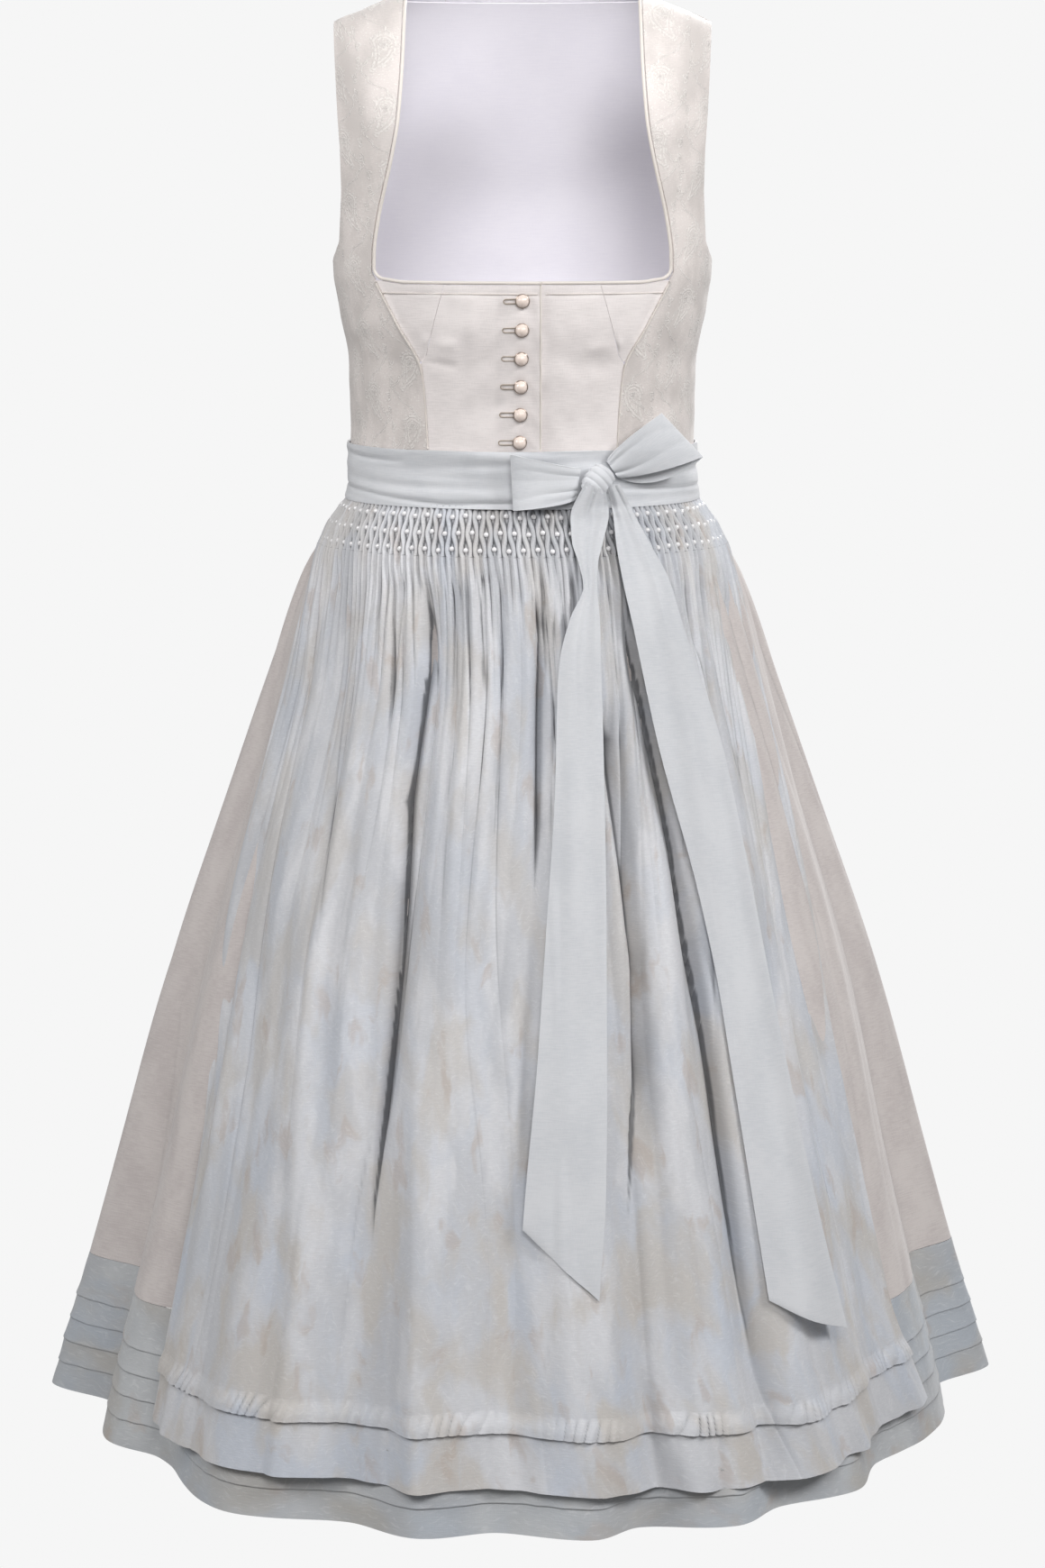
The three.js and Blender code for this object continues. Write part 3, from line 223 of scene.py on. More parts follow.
# Soft unevenness of the cloth: height, length over each of two directions, and seed.
WAVES = {
    "bodice": (0.35, 55, 38, 0), "bodice_small": (0.18, 18, 26, 50),
    "skirt": (0.8, 20, 260, 9), "skirt_gathers": (0.5, 30, 900, 0),
    "hem": (0.25, 9, 30, 21), "hem_edge": (0.55, 14, 200, 22), "hem_stitch": (0.3, 3.5, 60, 23),
    "apron": (2.3, 62, 420, 61), "gathers": (0.45, 130, 900, 0),
    "pucker_slant": (0.5, 60, 400, 71), "pucker_strength": (0.6, 110, 900, 72),
    "flounce": (0.5, 40, 120, 81), "band": (0.5, 60, 24, 91), "band_small": (0.35, 90, 13, 92),
    "tail": (0.8, 50, 130, 3), "tail_pleat": (0.25, 60, 4, 0), "loop_pleat": (0.4, 20, 9, 0),
}
SWELLS = 9
HALVINGS = 24
FACE_HALVINGS = 18


# ------------------------------------------------------------ small helpers
def lerp(a, b, t):
    return a + (b - a) * t


def smooth(t):
    t = np.clip(t, 0, 1)
    return t * t * (3 - 2 * t)


def column(rows, name, z):
    """A named column of a table at a height, on a smooth curve that keeps to its rows."""
    keys = rows[next(iter(rows))]
    values = rows[name]
    chord = np.diff(values) / np.diff(keys)
    slope = np.empty(len(keys))
    slope[0], slope[-1] = chord[0], chord[-1]
    before, after = chord[:-1], chord[1:]
    total = np.where(before + after == 0, 1, before + after)
    slope[1:-1] = np.where(before * after <= 0, 0, 2 * before * after / total)
    z = np.asarray(z, float)
    i = np.clip(np.searchsorted(keys, z, side="right") - 1, 0, len(keys) - 2)
    span = keys[i + 1] - keys[i]
    t = np.clip((z - keys[i]) / span, 0, 1)
    square, cube = t * t, t * t * t
    return (values[i] * (2 * cube - 3 * square + 1) + slope[i] * span * (cube - 2 * square + t)
            + values[i + 1] * (3 * square - 2 * cube) + slope[i + 1] * span * (cube - square))


def straight(rows, name, z):
    return np.interp(z, rows["z"], rows[name])


def fold_swell(angles, swells, degree):
    """Half waves between the ridges and troughs of a row of folds."""
    total = np.where(degree < angles[0], swells[0], swells[-1]).astype(float)
    for a, b, low, high in zip(angles[:-1], angles[1:], swells[:-1], swells[1:]):
        here = (degree >= a) & (degree <= b)
        total = np.where(here, lerp(low, high, smooth((degree - a) / (b - a))), total)
    return total


def wave(name, a, b, seed=0):
    """The named soft unevenness over two directions: nine crossing swells of seeded turn and length."""
    height, long_a, long_b, own_seed = WAVES[name]
    rng = np.random.default_rng(own_seed + seed)
    total = 0
    for _ in range(SWELLS):
        turn, phase = rng.uniform(0, math.pi), rng.uniform(0, 2 * math.pi)
        pace = rng.uniform(0.6, 1.5)
        total = total + np.sin(2 * math.pi * pace * (a / long_a * math.cos(turn)
                                                     + b / long_b * math.sin(turn)) + phase)
    return height * (total / math.sqrt(SWELLS))


# ------------------------------------------------------------ surfaces of the dress
def ridge(x):
    return SHOULDER_SLOPE * (math.hypot(NECK_SIDE, NAPE) - np.hypot(x, NAPE))


def lift(level):
    return np.clip((level - UNDERARM) / -UNDERARM, 0, 1) ** 2


def squared(angle, square):
    return (np.abs(np.cos(angle)) ** square + np.abs(np.sin(angle)) ** square) ** (-1 / square)


def body_point(degree, level):
    """A point of the bodice's outer surface, from its angle and its height before the shoulder's slope."""
    angle = np.radians(degree)
    facing = np.cos(angle)
    radius = squared(angle, column(BODY, "square", level))
    depth = np.where(facing >= 0, column(BODY, "front", level), column(BODY, "back", level))
    x = column(BODY, "half", level) * radius * np.sin(angle)
    z = level + ridge(x) * lift(level)
    below = np.clip((ridge(x) - z) / SHOULDER_ROLL, 0, 1)
    roll = np.sqrt(np.maximum(0, 1 - (1 - below) ** 2))
    y = depth * radius * np.abs(facing) * roll + SEAM / 2 * lift(level)
    return np.stack([x, np.where(facing >= 0, -y, y), z + 0 * x], -1)


def degree_at(x, level, behind=False):
    ratio = np.clip(np.abs(x) / column(BODY, "half", level), 0, 1)
    square = column(BODY, "square", level)
    rest = (1 - ratio ** square) ** (1 / square)
    degree = np.degrees(np.arctan2(ratio, rest))
    return np.where(np.asarray(x) < 0, -1, 1) * (180 - degree if behind else degree)


def body_normal(degree, level):
    step, turn = 0.4, 0.1
    upper = body_point(degree, np.minimum(level + step, 0))
    lower = body_point(degree, level - step)
    along = body_point(degree + turn, level) - body_point(degree - turn, level)
    normal = np.cross(along, upper - lower)
    normal /= np.linalg.norm(normal, axis=-1, keepdims=True)
    crown = np.broadcast_to(np.asarray(level) > -step, normal.shape[:-1])
    normal[crown] = (0, 0, 1)
    return normal


def fold_growth(z):
    return np.clip((FOLD_START - z) / (FOLD_START - HEM), 0, 1) ** FOLD_RISE


def ring(degree, z, out):
    """A point of the flared surface below the waist, a distance outside it."""
    angle = np.radians(degree)
    facing = np.cos(angle)
    radius = squared(angle, column(SKIRT, "square", z))
    depth = np.where(facing >= 0, column(SKIRT, "front", z), column(SKIRT, "back", z))
    half = column(SKIRT, "half", z)
    return np.stack([(half * radius + out) * np.sin(angle), -(depth * radius + out) * facing,
                     z + 0 * angle], -1)


def skirt_swell(degree, z):
    return fold_growth(z) * fold_swell(SKIRT_FOLDS["at"], SKIRT_FOLDS["swell"], degree)


def apron_out(degree, z):
    """How far the apron stands outside the flared surface: its own folds, clear of the skirt."""
    share = np.clip((SMOCK_BOTTOM - z) / (SMOCK_BOTTOM - APRON_HEM), 0, 1)
    angles = [lerp(top, hem, share) for top, hem in zip(APRON_FOLDS["top"], APRON_FOLDS["hem"])]
    own = fold_growth(z) * fold_swell(angles, APRON_FOLDS["swell"], degree)
    down = np.clip((APRON_CLEAR["start"] - z) / APRON_CLEAR["span"], 0, 1)
    clear = APRON_WALL + lerp(APRON_GAP_TOP, APRON_GAP_HEM, down)
    return np.maximum(own + APRON_GAP_TOP, skirt_swell(degree, z) + clear)


def apron_degree(u, z):
    return lerp(column(APRON_EDGES, "left", z), column(APRON_EDGES, "right", z), u)


def apron_point(u, z, relief=0):
    """A point of the apron at a share of its width. Its hem dips a little to the viewer's right."""
    degree = apron_degree(u, z)
    point = ring(degree, z, apron_out(degree, z) + relief)
    dip = APRON_DIP["deep"] * np.clip((SMOCK_BOTTOM - z) / APRON_DIP["span"], 0, 1)
    point[..., 2] -= dip * np.exp(-(((degree - APRON_DIP["at"]) / APRON_DIP["wide"]) ** 2))
    return point


def above_waist(name, z):
    return column(BODY, name, z) - column(BODY, name, WAIST)


def body_swell(degree, z):
    """How much wider the bodice is above the waist seam than at it."""
    angle = np.radians(degree)
    swell = (above_waist("half", z) * np.abs(np.sin(angle))
             + above_waist("front", z) * np.maximum(0, np.cos(angle))
             + above_waist("back", z) * np.maximum(0, -np.cos(angle)))
    return np.where(z <= WAIST, 0, swell)


def band_ring(degree, z, out):
    step = (WALL + SEAM) * smooth((BAND_STEP["at"] - np.abs(degree)) / BAND_STEP["ramp"])
    level = np.minimum(z, WAIST)
    point = ring(degree, level, BAND_GAP + step + out + body_swell(degree, z))
    point[..., 2] = z
    return point


def search(low, high, too_low, halvings):
    """The place between two bounds where a test turns from true to false."""
    for _ in range(halvings):
        middle = (low + high) / 2
        short = too_low(middle)
        low, high = np.where(short, middle, low), np.where(short, high, middle)
    return low


def apron_reach(x, z):
    def too_low(degree):
        return ring(degree, z, apron_out(degree, z))[..., 0] < x

    end = np.full(np.shape(x), float(APRON_HALF))
    found = search(-end, end, too_low, HALVINGS)
    share = (np.clip(z, GATHER_END, PANEL_TOP) - GATHER_END) / (PANEL_TOP - GATHER_END)
    return -ring(found, z, apron_out(found, z))[..., 1] + GATHER_RISE * np.clip(share, 0, 1)


def band_reach(x, z):
    degree = np.degrees(np.arcsin(np.clip(x / column(SKIRT, "half", WAIST), -1, 1)))
    return -band_ring(degree, np.clip(z, BAND_BOTTOM, BAND_TOP), BAND_WALL + BAND_FOLD)[..., 1]


def reach(x, z):
    """How far forward the dress reaches at a point, bridging over its folds."""
    x, z = np.broadcast_arrays(np.asarray(x, float), np.asarray(z, float))
    near = [np.where(z > BAND_BOTTOM, band_reach(x + dx, z), apron_reach(x + dx, z)) for dx in BRIDGE]
    band = np.where(z > SMOCK_BOTTOM, band_reach(x, np.maximum(z, BAND_BOTTOM)), 0)
    return np.maximum(np.max(near, axis=0), band)


# ------------------------------------------------------------ meshes
def make_mesh(name, points, faces, place=None):
    mesh = bpy.data.meshes.new(name)
    mesh.from_pydata((np.asarray(points, float) * MM).tolist(), [], [list(face) for face in faces])
    if place is not None:
        layer = mesh.attributes.new("place", "FLOAT_VECTOR", "POINT")
        layer.data.foreach_set("vector", (np.asarray(place, np.float32) * MM).ravel())
    mesh.polygons.foreach_set("use_smooth", [True] * len(mesh.polygons))
    mesh.update()
    piece = bpy.data.objects.new(name, mesh)
    bpy.context.scene.collection.objects.link(piece)
    return piece


def full_turn(count):
    return np.linspace(0, 2 * math.pi, count, endpoint=False)


def grid_faces(rows, columns, closed=False):
    index = np.arange(rows * columns).reshape(rows, columns)
    right = np.roll(index, -1, axis=1) if closed else index[:, 1:]
    left = index if closed else index[:, :-1]
    return np.stack([left[:-1], left[1:], right[1:], right[:-1]], -1).reshape(-1, 4)


def blurred(values, times):
    """Soft average down and across a grid."""
    for _ in range(times):
        padded = np.pad(values, 1, mode="edge")
        values = (padded[:-2, 1:-1] + padded[2:, 1:-1] + padded[1:-1, :-2] + padded[1:-1, 2:]
                  + 2 * padded[1:-1, 1:-1]) / 6
    return values


def sharpen_rim(mesh, rows, columns):
    """The sheet's own edges stay crisp where its thickness turns round them."""
    ends = np.empty(len(mesh.edges) * 2, int)
    mesh.edges.foreach_get("vertices", ends)
    row, col = np.divmod(ends.reshape(-1, 2), columns)
    along_row = (row[:, 0] == row[:, 1]) & np.isin(row[:, 0], (0, rows - 1))
    down_side = (col[:, 0] == col[:, 1]) & np.isin(col[:, 0], (0, columns - 1))
    layer = mesh.attributes.new("sharp_edge", "BOOLEAN", "EDGE")
    layer.data.foreach_set("value", along_row | down_side)


def cloth(name, points, place, thickness, looks, relief=None):
    """A sheet of cloth from rows of outer points, with its thickness inside them. Relief is its fine
    form in millimetres, whose hollows the cloth's look darkens as painted shade."""
    rows, columns = points.shape[:2]
    # How deep each point lies in a hollow of the relief: the painted shade of the cloth's look.
    painted_shade = np.zeros((rows, columns))
    if relief is not None:
        for times, share in PAINTED_SHADE_REACH:
            painted_shade += share * np.clip(blurred(relief, times) - relief, *PAINTED_SHADE_RANGE)
    place = np.concatenate([place, painted_shade[..., None]], -1)
    piece = make_mesh(name, points.reshape(-1, 3), grid_faces(rows, columns), place.reshape(-1, 3))
    sharpen_rim(piece.data, rows, columns)
    for look in looks:
        piece.data.materials.append(look)
    wall = piece.modifiers.new("wall", "SOLIDIFY")
    wall.thickness = thickness * MM
    wall.offset = -1
    wall.material_offset = len(looks) - 1
    return piece


def tube(points, radius, sides=10):
    """Vertices and faces of a round cord along points, with closed ends."""
    points = np.asarray(points, float)
    along = np.gradient(points, axis=0)
    along /= np.linalg.norm(along, axis=1, keepdims=True)
    outward = points * (1, 1, 0)
    side = np.cross(along, outward)
    side /= np.linalg.norm(side, axis=1, keepdims=True)
    top = np.cross(side, along)
    turn = full_turn(sides)
    around = side[:, None] * np.cos(turn)[:, None] + top[:, None] * np.sin(turn)[:, None]
    rings = points[:, None] + around * np.reshape(radius, (-1, 1, 1))
    faces = grid_faces(len(points), sides, closed=True).tolist()
    return rings.reshape(-1, 3), faces + end_caps(len(points), sides)


def joined(name, parts, look):
    """One piece from many small meshes."""
    points, faces, start = [], [], 0
    for some, sides in parts:
        points.append(some)
        faces += [[i + start for i in face] for face in sides]
        start += len(some)
    piece = make_mesh(name, np.concatenate(points), faces)
    piece.data.materials.append(look)
    return piece


def ball(radius, rings=8, segments=12):
    """Vertices and faces of a small pearl about the origin."""
    tilt = np.linspace(0, math.pi, rings + 1)[1:-1]
    turn = full_turn(segments)
    circle = np.stack([np.outer(np.sin(tilt), np.cos(turn)), np.outer(np.sin(tilt), np.sin(turn)),
                       np.outer(np.cos(tilt), np.ones(segments))], -1)
    points = np.concatenate([[[0, 0, 1]], circle.reshape(-1, 3), [[0, 0, -1]]]) * radius
    faces = (grid_faces(rings - 1, segments, closed=True) + 1).tolist()
    last = len(points) - 1
    for i in range(segments):
        k = (i + 1) % segments
        faces.append([0, 1 + i, 1 + k])
        faces.append([last, last - segments + k, last - segments + i])
    return points, faces


def end_caps(rings, sides):
    """The two closed ends of rings of points."""
    return [list(range(sides))[::-1], list(range((rings - 1) * sides, rings * sides))]


def seat(piece, slot, *nodes):
    """The piece rides on the dress and stands for its solids. Its slot is not used."""
    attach(piece, "root")
    if nodes:
        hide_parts(*nodes)
    return piece


# ------------------------------------------------------------ materials
def srgb(red, green, blue):
    """A colour from 0 to 255 as the shader's linear one."""
    return tuple((c / 255 / 12.92 if c < 11 else ((c / 255 + 0.055) / 1.055) ** 2.4)
                 for c in (red, green, blue)) + (1,)


SHEEN_ROUGHNESS = 0.4
# Painted shade in the cloth's hollows: the depths where it begins and is full, and its dark colour.
PAINTED_SHADE_STEP = (0.05, 2.0)
PAINTED_SHADE_COLOUR = (52, 54, 60)


class Term:
    """A number that a shader works out at each point, with plain arithmetic."""

    def __init__(self, shade, socket):
        self.shade, self.socket = shade, socket

    def __add__(self, other):
        return self.shade.math("ADD", self, other)

    def __sub__(self, other):
        return self.shade.math("SUBTRACT", self, other)

    def __rsub__(self, other):
        return self.shade.math("SUBTRACT", other, self)

    def __mul__(self, other):
        return self.shade.math("MULTIPLY", self, other)

    __radd__, __rmul__ = __add__, __mul__


class Shade:
    """A material, and short steps to build its nodes. Lengths in it are millimetres of cloth."""

    def __init__(self, name, roughness, sheen=0.0, specular=0.3):
        self.material = bpy.data.materials.new(name)
        self.material.use_nodes = True
        self.nodes = self.material.node_tree.nodes
        self.links = self.material.node_tree.links
        self.surface = self.nodes["Principled BSDF"]
        self.set("Roughness", roughness)
        self.set("Sheen Weight", sheen)
        self.set("Sheen Roughness", SHEEN_ROUGHNESS)
        self.set("Specular IOR Level", specular)

    def set(self, name, value):
        self.surface.inputs[name].default_value = value

    def feed(self, value, socket):
        if isinstance(value, Term):
            self.links.new(value.socket, socket)
        else:
            socket.default_value = value

    def math(self, operation, *values):
        node = self.nodes.new("ShaderNodeMath")
        node.operation = operation
        for value, socket in zip(values, node.inputs):
            self.feed(value, socket)
        return Term(self, node.outputs[0])

    def place(self):
        """Millimetres across and down the flat cloth. The third part is how deep its hollows are, for
        painted shade.
        """
        node = self.nodes.new("ShaderNodeAttribute")
        node.attribute_name = "place"
        parts = self.nodes.new("ShaderNodeSeparateXYZ")
        self.links.new(node.outputs["Vector"], parts.inputs[0])
        self.painted_shade = Term(self, parts.outputs[2]) * 1000
        return [Term(self, parts.outputs[i]) * 1000 for i in (0, 1)]

    def noise(self, x, y, wide, tall, detail=2, shift=0):
        """Soft unevenness from 0 to 1 with spots about so wide and tall."""
        vector = self.nodes.new("ShaderNodeCombineXYZ")
        self.feed(x * (1 / wide) + shift, vector.inputs[0])
        self.feed(y * (1 / tall), vector.inputs[1])
        node = self.nodes.new("ShaderNodeTexNoise")
        node.noise_dimensions = "2D"
        node.inputs["Scale"].default_value = 1
        node.inputs["Detail"].default_value = detail
        self.links.new(vector.outputs[0], node.inputs["Vector"])
        return Term(self, node.outputs["Fac"])

    def step(self, value, low, high):
        """0 below low, 1 above high, and smooth between."""
        node = self.nodes.new("ShaderNodeMapRange")
        node.interpolation_type = "SMOOTHSTEP"
        self.feed(value, node.inputs["Value"])
        node.inputs["From Min"].default_value = low
        node.inputs["From Max"].default_value = high
        return Term(self, node.outputs[0])

    def mix(self, share, one, other, how="MIX"):
        node = self.nodes.new("ShaderNodeMix")
        node.data_type = "RGBA"
        node.blend_type = how
        self.feed(share, node.inputs["Factor"])
        for value, name in ((one, 6), (other, 7)):
            if isinstance(value, Term):
                self.links.new(value.socket, node.inputs[name])
            else:
                node.inputs[name].default_value = value
        return Term(self, node.outputs[2])

    def colour(self, value, depth=0.0):
        """The surface's colour, with painted shade that darkens its hollows by up to a depth."""
        if depth:
            value = self.mix(self.step(self.painted_shade, *PAINTED_SHADE_STEP) * depth, value, srgb(*PAINTED_SHADE_COLOUR))
        self.links.new(value.socket, self.surface.inputs["Base Color"])

    def bump(self, height, depth, strength=1.0):
        """Fine relief: height is from 0 to 1 and depth in millimetres."""
        node = self.nodes.new("ShaderNodeBump")
        node.inputs["Strength"].default_value = strength
        node.inputs["Distance"].default_value = depth * MM
        self.links.new(height.socket, node.inputs["Height"])
        self.links.new(node.outputs[0], self.surface.inputs["Normal"])


def weave(shade, x, y, slub_long=7, slub_tall=0.9):
    """Threads: short uneven streaks across, thinner ones down, and a fine grain."""
    across = shade.noise(x, y, slub_long, slub_tall, 3)
    down = shade.noise(x, y, 0.7, 5, 2, 17)
    grain = shade.noise(x, y, 0.45, 0.45, 1, 31)
    return across * 0.55 + down * 0.25 + grain * 0.2


def plain_cloth(name, light, dark, roughness=0.62, sheen=0.25, depth=0.12, slub=7, specular=0.25):
    """Plain silk, linen or cotton with slubs, a soft sheen and slight unevenness of colour."""
    shade = Shade(name, roughness, sheen, specular)
    x, y = shade.place()
    threads = weave(shade, x, y, slub)
    cloud = shade.noise(x, y, 34, 48, 2, 5)
    tone = shade.step(threads * 0.65 + cloud * 0.35, 0.34, 0.62)
    # The colour takes painted shade in the cloth's hollows.
    shade.colour(shade.mix(tone, srgb(*dark), srgb(*light)), 0.45)
    shade.bump(threads, depth)
    return shade.material


LOW_TINT = (640, 1010)      # how far down the cloth its tints grow stronger
RUST = (172, 152, 136)
SCRATCH = (236, 236, 236)
THREAD_SHADE = (140, 141, 146)


def clouded_cloth(name, light, dark, blue, beige, wide=1.0, painted_shade=0.72):
    """Light cloth with soft painted clouds of grey, blue and beige, longer down than across."""
    shade = Shade(name, 0.5, 0.3, 0.3)
    x, y = shade.place()
    threads = weave(shade, x, y, 9, 1.0)
    warp = shade.noise(x, y, 30 * wide, 45, 3, 61) * 34 - 17
    tint = shade.noise(x + warp, y + warp * 2, 84 * wide, 110, 3, 3)
    veil = shade.noise(x - warp, y, 56 * wide, 120, 3, 11)
    spots = shade.noise(x + warp, y + warp, 66 * wide, 72, 3, 23)
    low = shade.step(y, *LOW_TINT)
    base = shade.mix(shade.step(veil, 0.38, 0.62) * (1 - low * 0.4), srgb(*dark), srgb(*light))
    base = shade.mix(shade.step(tint, 0.43, 0.68) * (0.34 + low * 0.3), base, srgb(*blue))
    base = shade.mix(shade.step(spots, 0.45, 0.68) * (0.5 + low * 0.3), base, srgb(*beige))
    rust = shade.noise(x + warp, y + warp, 36 * wide, 42, 3, 83)
    base = shade.mix(shade.step(rust, 0.6, 0.74) * 0.34, base, srgb(*RUST))
    scratch = shade.step(shade.noise(x, y + warp, 11, 1.5, 3, 71), 0.56, 0.72)
    base = shade.mix(scratch * 0.16, base, srgb(*SCRATCH))
    base = shade.mix(shade.step(threads, 0.35, 0.65) * 0.14, base, srgb(*THREAD_SHADE))
    # The colour takes painted shade in the cloth's hollows, by the given share.
    shade.colour(base, painted_shade)
    shade.bump(threads, 0.16)
    return shade.material


def near(shade, distance, width):
    """1 on a line, falling to 0 at a width from it."""
    return 1 - shade.step(shade.math("ABSOLUTE", distance), width * 0.45, width)


def rosette(shade, p, q, petals, size):
    """Distance from the edge of a flower with round petals."""
    radius = shade.math("SQRT", p * p + q * q)
    turn = shade.math("COSINE", shade.math("ARCTAN2", p, q) * petals)
    return radius - (turn * 0.24 + 0.76) * size


PAISLEY_REPEAT = (34, 46)
PAISLEY_TIP = (7, 17)       # from the round foot of a drop to its tip, across and down


def paisley(shade, x, y):
    """Tone-on-tone paisley drops, flowers and a waving stem, in a half-drop repeat."""
    wide, tall = PAISLEY_REPEAT
    odd = shade.math("FLOORED_MODULO", shade.math("FLOOR", x * (1 / wide)), 2.0)
    side = 1 - odd * 2
    p = (shade.math("FRACT", x * (1 / wide)) - 0.5) * wide * side
    q = (shade.math("FRACT", y * (1 / tall) + odd * 0.5) - 0.5) * tall
    lean, rise = PAISLEY_TIP
    foot_p, foot_q = p + 3, q + 7
    t = (foot_p * lean + foot_q * rise) * (1 / (lean ** 2 + rise ** 2))
    t = shade.math("MINIMUM", shade.math("MAXIMUM", t, 0.0), 1.0)
    bend = t * (1 - t) * 9
    off_p = foot_p - t * lean + bend
    off_q = foot_q - t * rise
    drop = shade.math("SQRT", off_p * off_p + off_q * off_q) - (7.4 - t * 6.2)
    turn = shade.math("COSINE", shade.math("ARCTAN2", foot_p, foot_q) * 15)
    beads = near(shade, drop - 1.9, 1.1) * shade.step(turn, -0.1, 0.5)
    flower = rosette(shade, foot_p, foot_q, 6, 3.6)
    corner_p = shade.math("ABSOLUTE", p) - wide / 2
    corner_q = shade.math("ABSOLUTE", q) - 6
    spray = rosette(shade, corner_p, corner_q, 5, 4.4)
    stem = p - shade.math("SINE", q * (2 * math.pi / tall)) * 11 - 2
    leaf = shade.math("SINE", q * (10 * math.pi / tall)) * 2.2
    lines = near(shade, drop, 1.1)
    inner_drop = near(shade, drop + 2.4, 0.8)
    for part in (inner_drop, beads, *(near(shade, distance, width) for distance, width in (
            (flower, 0.9), (flower + 1.8, 0.9), (spray, 1.0), (spray + 2.2, 1.0), (stem, 0.7),
            (stem - leaf, 0.7)))):
        lines = shade.math("MAXIMUM", lines, part)
    return lines


def jacquard_cloth(name, light, dark, thread):
    """Figured silk: a paisley of lighter threads over a slubbed ground."""
    shade = Shade(name, 0.55, 0.3, 0.3)
    x, y = shade.place()
    threads = weave(shade, x, y, 3, 0.8)
    flecks = shade.step(shade.noise(x, y, 1.1, 1.6, 2, 41), 0.3, 0.52)
    lines = paisley(shade, x, y) * flecks
    cloud = shade.noise(x, y, 24, 40, 3, 5)
    thread = srgb(*thread)
    base = shade.mix(shade.step(cloud * 0.6 + threads * 0.4, 0.38, 0.62), srgb(*dark), srgb(*light))
    specks = shade.step(shade.noise(x, y, 1.6, 1.2, 2, 57), 0.62, 0.72) * shade.step(cloud, 0.4, 0.6)
    base = shade.mix(specks * 0.6, base, thread)
    # The colour takes painted shade in the cloth's hollows.
    shade.colour(shade.mix(lines * 0.42, base, thread), 0.4)
    shade.bump(lines * 0.7 + threads * 0.3, 0.32)
    return shade.material


def pearl_finish(name, colour, swirl, roughness, metallic, coat):
    """A smooth pearl or its metal rim, with a faint swirl of a second colour."""
    shade = Shade(name, roughness, 0.0, 0.6)
    spot = shade.nodes.new("ShaderNodeTexNoise")
    spot.inputs["Scale"].default_value = 400
    share = Term(shade, spot.outputs["Fac"]) * 0.35
    shade.colour(shade.mix(share, srgb(*colour), srgb(*swirl)))
    shade.set("Metallic", metallic)
    shade.set("Coat Weight", coat)
    shade.set("Coat Roughness", 0.08)
    return shade.material


PEARL_SWIRL = (236, 226, 222)
LOOKS = {
    "silk": plain_cloth("silk", (240, 233, 231), (228, 221, 219), slub=10),
    "jacquard": jacquard_cloth("jacquard", (224, 216, 212), (208, 201, 197), (246, 243, 238)),
    "lining": plain_cloth("lining", (230, 227, 233), (226, 223, 230), 0.5, 0.1, 0.03, 12),
    "piping": plain_cloth("piping", (228, 221, 214), (214, 206, 199), 0.45, 0.2, 0.06, 2),
    "band": plain_cloth("band", (214, 215, 218), (203, 205, 209), 0.5, 0.3, 0.09, 12),
    # Painted shade: the tails' look is the band's cloth painted darker.
    "tail": plain_cloth("tail", (202, 203, 206), (192, 194, 198), 0.5, 0.3, 0.09, 12),
    "apron": clouded_cloth("apron", (210, 210, 213), (190, 191, 195), (184, 191, 203), (190, 184, 177)),
    "skirt": plain_cloth("skirt", (203, 196, 193), (188, 180, 178), 0.65, 0.3, 0.1, 12),
    "hem_band": clouded_cloth("hem_band", (191, 193, 194), (173, 175, 178), (166, 174, 184),
                              (174, 170, 164), 1.6),
    "pearl": pearl_finish("pearl", (240, 222, 210), PEARL_SWIRL, 0.16, 0.0, 0.6),
    "small_pearl": pearl_finish("small_pearl", (236, 236, 238), PEARL_SWIRL, 0.16, 0.0, 0.6),
    "rim": pearl_finish("rim", (168, 150, 138), (150, 146, 140), 0.3, 0.85, 0.0),
    "loop": plain_cloth("loop", (176, 164, 150), (152, 140, 128), 0.5, 0.1, 0.05, 2),
}


# ------------------------------------------------------------ bodice
UPPER_LEVELS = [UNDERARM, -194, -186, -165, -138, -105, -70, -40, -18, -5, 0]
SIDE_LEVELS = [WAIST, -318, -285, -252, -222] + UPPER_LEVELS
CUP_LEVELS = [-262, -245, -227]
FRONT_LEVELS = [WAIST, -318, -290, CUP_POINT] + CUP_LEVELS + [NECK_FRONT]
SIDE_FRONT_LEVELS = [WAIST, -318, -290, CUP_POINT] + CUP_LEVELS + [CUP_CORNER] + UPPER_LEVELS
HALF_SEAM = SEAM / 2
CENTRE_EDGES = {-1: -PLACKET, 1: UNDERLAP}      # how far each front reaches past the middle
SETTLE_STEPS = 12
LEVEL_STEPS = 8                                 # rows of points between two levels
PLACE_RADIUS = 125                              # turns an angle into a length of cloth
RELIEF_FADE = 8                                 # relief fades out within this share of the width
PUFF = {"high": 0.5, "back": 2.5, "wide": 2.6, "pull": 0.7}
DENT = {"deep": 0.35, "at": -1, "wide": 7, "above": 10, "ramp": 6}
FACING = {"below": 6.3, "deep": 0.6, "wide": 0.8, "end": 108}
